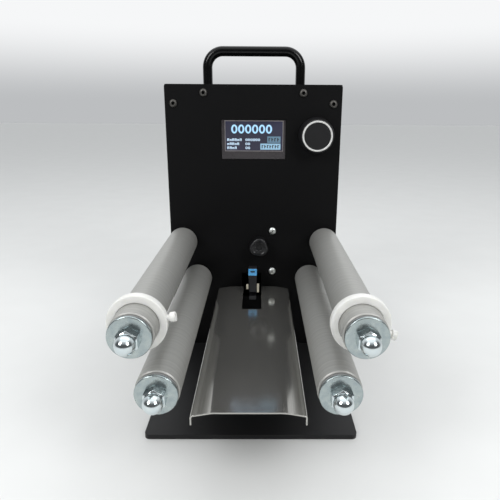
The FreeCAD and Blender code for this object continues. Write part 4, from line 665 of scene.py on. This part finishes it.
# Two inverted boxes at the right, each a lit block with dark marks left out of it.
for name, left, right, top, bottom, finish in (
    ("box_upper", 40.0, 52.5, 14.4, 20.3, glow("half-lit block", "#5f8299", 0.9)),
    ("box_lower", 33.5, 52.5, 21.0, 26.6, glow("lit block", "#8db6cf", 1.1)),
):
    bm = bmesh.new()
    plate(bm, field_left + left * MM, field_left + right * MM, FIELD_TOP - bottom * MM,
          FIELD_TOP - top * MM, BLOCK_Y, INK)
    on_display(name, bm, finish)
    bm = bmesh.new()
    count = round((right - left) / 2.9)
    for i in range(count):
        x = field_left + (left + 1.2 + i * (right - left - 1.6) / count) * MM
        plate(bm, x, x + 0.9 * MM, FIELD_TOP - (bottom - 1.3) * MM,
              FIELD_TOP - (top + 1.3) * MM, MARK_Y, INK)
        plate(bm, x + 0.9 * MM, x + 1.7 * MM, FIELD_TOP - (top + 2.0 + i % 2) * MM,
              FIELD_TOP - (top + 1.3 + i % 2) * MM, MARK_Y, INK)
    on_display(f"{name}_marks", bm, contact_glass)


# ---- counter dial ----------------------------------------------------------------------------
# A turned aluminium knob anodised matt charcoal, on the encoder's shaft, which can be pressed.
# Its face is flat, with a ring of bare aluminium let in near the edge that stays bright.

charcoal = moulded("charcoal anodising", "#141415", "#1a1a1c", 0.5, 0.5, 0.015, 0.25)
low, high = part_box("counter_dial")
centre = (low + high) / 2
seat, tip = high.y / MM, low.y / MM
DIAL_R, RING_OUT, RING_IN, RING_DEEP = 16.8, 14.0, 12.3, 0.8
bm = bmesh.new()
turn(bm, [
    (3.0, seat - 5.5), (10.0, seat - 5.5), (10.0, seat), (16.5, seat), (DIAL_R, seat - 0.4),
    (DIAL_R, seat - 1.6), (16.6, seat - 2.2), (15.2, tip + 1.4),
    *arc((14.3, tip + 0.9), 0.9, 0, -90, 5), (RING_OUT, tip), (RING_OUT, tip + RING_DEEP),
    (RING_IN, tip + RING_DEEP), (RING_IN, tip), (12.0, tip), (0, tip + 0.12),
], centre, 128)
finish_piece(break_edges(place_mesh("dial_body", bm), 0.1), charcoal, "counter_dial")

bright_ring = metal("bright ring", "#e6e6e4", "#f2f2f0", 0.5, 0.05, 6.0)
bm = bmesh.new()
turn(bm, [
    (RING_IN, tip + 0.78), (RING_IN, tip + 0.1), (12.55, tip - 0.12), (13.75, tip - 0.12),
    (RING_OUT, tip + 0.1), (RING_OUT, tip + 0.78), (RING_IN, tip + 0.78),
], centre, 128)
finish_piece(place_mesh("dial_bright_ring", bm), bright_ring, "dial_ring")


# ---- adjusting knob and its screws -----------------------------------------------------------
# A small moulded knob of black nylon, softly shiny, with three broad lobes and a round recess
# over the end of the lead screw. The two pan-head screws beside it hold the sensor frame; their
# satin zinc blurs the lights to a soft pale cap.

black_nylon = moulded("black nylon", "#101011", "#17171a", 0.33, 0.6, 0.02)
low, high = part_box("adjusting_knob")
centre = (low + high) / 2
seat, tip = high.y / MM, low.y / MM
KNOB, LOBES, LOBE_TURN = 9.25, 3, math.radians(79)
LOBE_DEEP, LOBE_FROM = 0.8 * MM, 6.5 * MM
bm = bmesh.new()
turn(bm, [
    (4.0, seat), (8.0, seat), (8.6, seat - 0.6), (KNOB, seat - 1.4), (KNOB, tip + 1.8),
    *arc((KNOB - 1.4, tip + 1.6), 1.4, 0, -90, 5), (6.9, tip), (6.3, tip + 0.5), (4.4, tip + 0.8),
    (3.3, tip + 0.9), (3.0, tip + 1.2), (3.0, tip + 3.0), (0, tip + 3.0),
], centre, 96)
for vert in bm.verts:
    flat = Vector((vert.co.x - centre.x, 0, vert.co.z - centre.z))
    if flat.length > LOBE_FROM:
        turn_by = math.atan2(flat.z, flat.x) - LOBE_TURN
        wave = 0.5 - 0.5 * math.cos(LOBES * turn_by)
        vert.co -= flat.normalized() * LOBE_DEEP * wave ** 1.5
finish_piece(place_mesh("grip_knob", bm, 50), black_nylon, "adjusting_knob")

satin_zinc = metal("satin zinc", "#cfd4d2", "#e2e5e2", 0.42, 0.05, 3.0)
CROSS_LONG, CROSS_WIDE, CROSS_DEEP = 2.4, 0.45, 0.25
for number, (low, high) in enumerate(islands("sensor_frame_screws")):
    centre = (low + high) / 2
    bm = bmesh.new()
    turn(bm, [
        (0, -2.2), *arc((0, 3.3), 5.5, -88, -56, 7), (3.4, -0.95), (3.5, -0.6), (3.5, -0.05),
        (1.5, 0.0), (1.5, 8.0), (0, 8.0),
    ], centre, 48)
    finish_piece(place_mesh(f"pan_screw_{number}", bm, 50), satin_zinc, "sensor_frame_screws")
    # The cross recess isn't cut: a dark inlay of the black oxide finish follows its two slots as
    # painted shade.
    bm = bmesh.new()
    for wide, tall in ((CROSS_LONG, CROSS_WIDE), (CROSS_WIDE, CROSS_LONG)):
        made = bmesh.ops.create_cube(bm, size=1.0)["verts"]
        bmesh.ops.scale(bm, verts=made, vec=(wide * MM, CROSS_DEEP * MM, tall * MM))
        spin = Matrix.Rotation(math.radians(20 + 25 * number), 4, "Y")
        place = Vector((centre.x, -2.1 * MM, centre.z))
        bmesh.ops.transform(bm, verts=made, matrix=Matrix.Translation(place) @ spin)
    finish_piece(place_mesh(f"cross_recess_painted_shade_{number}", bm), black_oxide, "sensor_frame_screws")


# ---- fork sensor -----------------------------------------------------------------------------
# A fork of black glass-filled plastic whose mouth takes the edge of the label strip, and a clear
# blue cap over its setting screw, which glows a little as light passes through it. Two cream
# plastic clips hold it on the carriage.

sensor_black = moulded("sensor body plastic", "#17171a", "#202024", 0.45, 0.5, 0.02)
fork = sheet_copy("fork_body", "sensor_fork", 0.4, sensor_black, steps=3)
fork_low, fork_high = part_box("sensor_fork")
fork_x = (fork_low.x + fork_high.x) / 2
# The moulding narrows below its crown, towards the front.
NOSE, CROWN, NARROWED = 12 * MM, 8 * MM, 0.82
for vert in fork.data.vertices:
    if vert.co.y < fork_low.y + NOSE and vert.co.z < fork_high.z - CROWN:
        vert.co.x = fork_x + (vert.co.x - fork_x) * NARROWED
sheet_copy("carriage_body", "sensor_carriage", 0.4, sensor_black)
cap_blue = moulded("clear blue cap", "#4c9ad2", "#6cb6e8", 0.25, 0.9, 0.01,
                   subsurface_weight=0.3, subsurface_radius=(0.001, 0.002, 0.004),
                   subsurface_scale=0.5)
low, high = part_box("sensor_cap")
cap_high = high.z - low.z
LENS_EDGE, LENS_SUNK = 0.9 * MM, 0.35 * MM
WELL_HALF, WELL_LOW, WELL_HIGH = 2.1 * MM, 0.49, 0.75
bm = bmesh.new()
plate(bm, low.x, high.x, low.z, high.z, low.y, high.y - low.y)
bmesh.ops.recalc_face_normals(bm, faces=bm.faces)
window = [face for face in bm.faces if face.calc_center_median().y < low.y + 0.01 * MM]
bmesh.ops.inset_region(bm, faces=window, thickness=LENS_EDGE, depth=0.0)
bmesh.ops.translate(bm, verts=window[0].verts, vec=(0, LENS_SUNK, 0))
bmesh.ops.bevel(bm, geom=[edge for edge in bm.edges if edge.calc_face_angle(0) > 0.5],
                affect="EDGES", offset=0.2 * MM, segments=3, profile=0.5, material=-1)
finish_piece(place_mesh("cap_body", bm), cap_blue, "sensor_cap")
# The slot for a screwdriver over the setting screw isn't cut: a rounded plate of the dark sensor
# plastic stands on the window as its painted shade.
bm = bmesh.new()
plate(bm, fork_x - WELL_HALF, fork_x + WELL_HALF, low.z + WELL_LOW * cap_high,
      low.z + WELL_HIGH * cap_high, low.y + 0.25 * MM, 0.3 * MM)
upright = [edge for edge in bm.edges if abs(edge.verts[0].co.y - edge.verts[1].co.y) > 0.1 * MM]
bmesh.ops.bevel(bm, geom=upright, affect="EDGES", offset=0.5 * MM, segments=4, profile=0.5,
                material=-1)
finish_piece(place_mesh("cap_slot_painted_shade", bm), sensor_black, "sensor_cap")
cream_clip = moulded("cream clip plastic", "#bdb7a3", "#cfcaba", 0.4, 0.7, 0.02)
sheet_copy("clip_bodies", "sensor_clips", 0.35, cream_clip, steps=3)


# ---- web tray --------------------------------------------------------------------------------
# 1 mm stainless sheet folded into a shallow tray upside down: a flat middle, two wings and an
# edge flange. Its fine brushed finish runs from front to back and still mirrors what stands over it.

HAZE_MM = 45.45


def brushed_steel(name, dark, light, roughness, streak_mm):
    """Brushed stainless sheet: long streaks along Y, drawn coarser than real, under a thin haze.

    The haze comes from a metallic value a little under one and takes the edge off the mirror.
    """
    made, tree, place = begin(name)
    stretch = add(tree, "ShaderNodeMapping",
                  {"Vector": place, "Scale": (1.0, 0.02, 1.0)})
    streaks = add(tree, "ShaderNodeTexNoise",
                  {"Vector": stretch.outputs[0], "Scale": 1 / (streak_mm * MM), "Detail": 4.0})
    clouds = add(tree, "ShaderNodeTexNoise",
                 {"Vector": place, "Scale": 1 / (HAZE_MM * MM), "Detail": 3.0})
    tone = add(tree, "ShaderNodeMix", {"Factor": streaks.outputs["Fac"], "A": linear(dark),
                                       "B": linear(light)}, data_type="RGBA")
    both = add(tree, "ShaderNodeMath", {0: streaks.outputs["Fac"], 1: clouds.outputs["Fac"]},
               operation="ADD")
    polish = add(tree, "ShaderNodeMapRange", {"Value": both.outputs[0], "From Max": 2.0,
                                              "To Min": roughness - 0.04,
                                              "To Max": roughness + 0.04})
    bump = add(tree, "ShaderNodeBump", {"Height": streaks.outputs["Fac"], "Strength": 0.06,
                                        "Distance": 0.008 * MM})
    shader = add(tree, "ShaderNodeBsdfPrincipled",
                 {"Base Color": tone.outputs["Result"], "Metallic": 0.86,
                  "Roughness": polish.outputs["Result"], "Normal": bump.outputs["Normal"]})
    return close(made, tree, shader)


tray_steel = brushed_steel("brushed stainless", "#9a9995", "#bebdb8", 0.12, 0.7)
low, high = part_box("web_tray")
WING, FALL, THICK = 12.5 * MM, 2.4 * MM, 1.0 * MM
flat_x = high.x - THICK - WING
SLOT_LEFT, SLOT_RIGHT, SLOT_END = -10.0 * MM, 8.0 * MM, -59.0 * MM
STRIPS = 6
outline = [(-high.x, low.z), (-high.x, high.z - FALL), (-flat_x, high.z), (SLOT_LEFT, high.z),
           (SLOT_RIGHT, high.z), (flat_x, high.z), (high.x, high.z - FALL), (high.x, low.z)]
# The outline of the back edge, with its four bends rounded, is drawn out to the front in strips.
bm = bmesh.new()
chain = [bm.verts.new((x, high.y, z)) for x, z in outline]
for pair in zip(chain, chain[1:]):
    bm.edges.new(pair)
bmesh.ops.bevel(bm, geom=[chain[1], chain[-2]], affect="VERTICES", offset=1.6 * MM, segments=6,
                profile=0.5, material=-1)
bends = [vert for vert in bm.verts if abs(abs(vert.co.x) - flat_x) < 1e-5]
bmesh.ops.bevel(bm, geom=bends, affect="VERTICES", offset=1.8 * MM, segments=4, profile=0.5,
                material=-1)
edges = bm.edges[:]
edges = pull(bm, edges, (0, SLOT_END - high.y, 0))
for _ in range(STRIPS):
    edges = pull(bm, edges, (0, (low.y - SLOT_END) / STRIPS, 0))
slot = [face for face in bm.faces
        if SLOT_LEFT < face.calc_center_median().x < SLOT_RIGHT
        and face.calc_center_median().y > SLOT_END]
bmesh.ops.delete(bm, geom=slot, context="FACES")
bmesh.ops.recalc_face_normals(bm, faces=bm.faces)
if sum(face.normal.z for face in bm.faces) < 0:
    bmesh.ops.reverse_faces(bm, faces=bm.faces)
tray = place_mesh("tray_sheet", bm, 40)
wall = tray.modifiers.new("1 mm sheet", "SOLIDIFY")
wall.thickness = THICK
wall.offset = -1.0
wall.use_even_offset = True
break_edges(tray, 0.15, steps=2, angle=50)
finish_piece(tray, tray_steel, "web_tray")
sheet_copy("tray_bars", "tray_brackets", 0.4, base_coat)


# ---- sockets and switch on the back ----------------------------------------------------------
# A moulded power socket, a nickel-plated signal socket and a rocker switch, each let into the
# rear cover from outside. The plastic has a fine dull grain; the nickel is warm and nearly bright.

socket_black = moulded("socket plastic", "#1a1a1b", "#242425", 0.4, 0.5, 0.02)
nickel = metal("nickel plate", "#a5a29c", "#bdbab4", 0.2, 0.05, 4.0)
sheet_copy("power_socket_body", "power_socket", 0.3, socket_black)
sheet_copy("signal_socket_body", "signal_socket", 0.3, nickel)
sheet_copy("switch_bezel", "power_switch", 0.4, socket_black, steps=3)
sheet_copy("rocker_cap", "switch_rocker", 0.5, socket_black, steps=3)


# ---- pieces inside ---------------------------------------------------------------------------
# Shafts, bearings, screws and nuts behind the panel, the lead screw with its brass nut, the
# encoder and the two circuit boards. The cover hides them, so their plain shapes stay. Ground
# steel is a clean grey, brass a soft yellow, and the boards' solder mask a glossy dark green.

ground_steel = metal("ground steel", "#8a8a8c", "#a4a4a6", 0.26, 0.06, 3.0)
brass = metal("turned brass", "#b8924c", "#cda961", 0.28, 0.06, 3.0)
solder_mask = moulded("green solder mask", "#12402a", "#1a5236", 0.3, 1.5, 0.02)
inside = {
    ground_steel: [f"roller_shaft_{corner}" for corner in CORNERS]
    + ["roller_bearings", "guide_rods", "lead_screw", "encoder_body", "encoder_shaft"],
    zinc_plate: ["base_nuts", "shaft_nuts", "shaft_washers", "handle_brackets", "handle_screws",
                 "sensor_frame", "tray_screws", "display_studs", "display_nuts", "encoder_nut"],
    brass: ["lead_nut", "lead_screw_bushes", "encoder_wheel"],
    solder_mask: ["controller_board", "display_board"],
    natural_nylon: ["board_pillars"],
    black_oxide: ["base_screws"],
}
for finish, members in inside.items():
    for member in members:
        for slot in nodes[member].material_slots:
            slot.material = finish


# ---- floor, lights and camera ----------------------------------------------------------------
# A plain pale floor in a pale room that is brighter behind the counter and overhead than in
# front. Two soft lights stand in front at the left and right, and a large one hangs above.

floor_mesh = bpy.data.meshes.new("floor")
bm = bmesh.new()
bmesh.ops.create_grid(bm, x_segments=1, y_segments=1, size=6.0)
bm.to_mesh(floor_mesh)
bm.free()
floor = bpy.data.objects.new("floor", floor_mesh)
bpy.context.scene.collection.objects.link(floor)
pale_floor = powder_coat("painted floor", "#d9dad9", "#dfe0df", 0.7, 3.0, 0.02, 0.2)
floor_mesh.materials.append(pale_floor)

room = bpy.data.worlds.new("studio")
bpy.context.scene.world = room
room.use_nodes = True
studio = room.node_tree
studio.nodes.clear()
way = add(studio, "ShaderNodeSeparateXYZ",
          {"Vector": add(studio, "ShaderNodeTexCoord").outputs["Generated"]})
wall = add(studio, "ShaderNodeMapRange", {"Value": way.outputs["Y"], "From Min": -0.1,
                                          "From Max": 0.55, "To Min": 0.12, "To Max": 0.85},
           interpolation_type="SMOOTHSTEP")
ceiling = add(studio, "ShaderNodeMapRange", {"Value": way.outputs["Z"], "From Min": 0.45,
                                             "From Max": 0.9, "To Min": 0.0, "To Max": 0.65},
              interpolation_type="SMOOTHSTEP")
level = add(studio, "ShaderNodeMath", {0: wall.outputs["Result"], 1: ceiling.outputs["Result"]})
lit = add(studio, "ShaderNodeBackground", {"Color": linear("#f7f9fb"),
                                           "Strength": level.outputs[0]})
# What is seen past the floor fades from the floor's own grey up to white.
haze = add(studio, "ShaderNodeMapRange", {"Value": way.outputs["Z"], "From Min": 0.0,
                                          "From Max": 0.14}, interpolation_type="SMOOTHSTEP")
fade = add(studio, "ShaderNodeMix", {"Factor": haze.outputs["Result"], "A": linear("#bcbec0"),
                                     "B": linear("#f6f7f8")}, data_type="RGBA")
seen = add(studio, "ShaderNodeBackground", {"Color": fade.outputs["Result"], "Strength": 1.0})
view = add(studio, "ShaderNodeLightPath").outputs["Is Camera Ray"]
both = add(studio, "ShaderNodeMixShader", {0: view, 1: lit.outputs[0], 2: seen.outputs[0]})
add(studio, "ShaderNodeOutputWorld", {"Surface": both.outputs[0]})


def soft_light(name, place, target, size, power):
    """An area light at a place, turned towards a target."""
    lamp = bpy.data.lights.new(name, "AREA")
    lamp.shape = "RECTANGLE"
    lamp.size, lamp.size_y = size
    lamp.energy = power
    holder = bpy.data.objects.new(name, lamp)
    aim = (Vector(target) - Vector(place)).to_track_quat("-Z", "Y")
    holder.matrix_world = Matrix.LocRotScale(Vector(place), aim, Vector((1, 1, 1)))
    bpy.context.scene.collection.objects.link(holder)


for side, x in (("left", -0.75), ("right", 0.75)):
    soft_light(f"{side} softbox", (x, -0.85, 0.85), (0, -0.1, 0.12), (0.45, 0.5), 7.0)
soft_light("overhead softbox", (0, -0.1, 1.4), (0, -0.1, 0), (2.0, 1.6), 6.0)

YAW, DOWN, ROLL = math.radians(-0.485), math.radians(16.536), math.radians(0.352)
lens = bpy.data.cameras.new("camera")
lens.lens = 35.435
lens.sensor_width = 36.0
lens.shift_x = -0.0279
lens.clip_start = 0.01
camera = bpy.data.objects.new("camera", lens)
bpy.context.scene.collection.objects.link(camera)
camera.matrix_world = (
    Matrix.Translation((0.006479, -0.474177, 0.247891))
    @ Matrix.Rotation(YAW, 4, "Z")
    @ Matrix.Rotation(math.pi / 2 - DOWN, 4, "X")
    @ Matrix.Rotation(ROLL, 4, "Z")
)
bpy.context.scene.camera = camera
bpy.context.scene.view_settings.view_transform = "Standard"
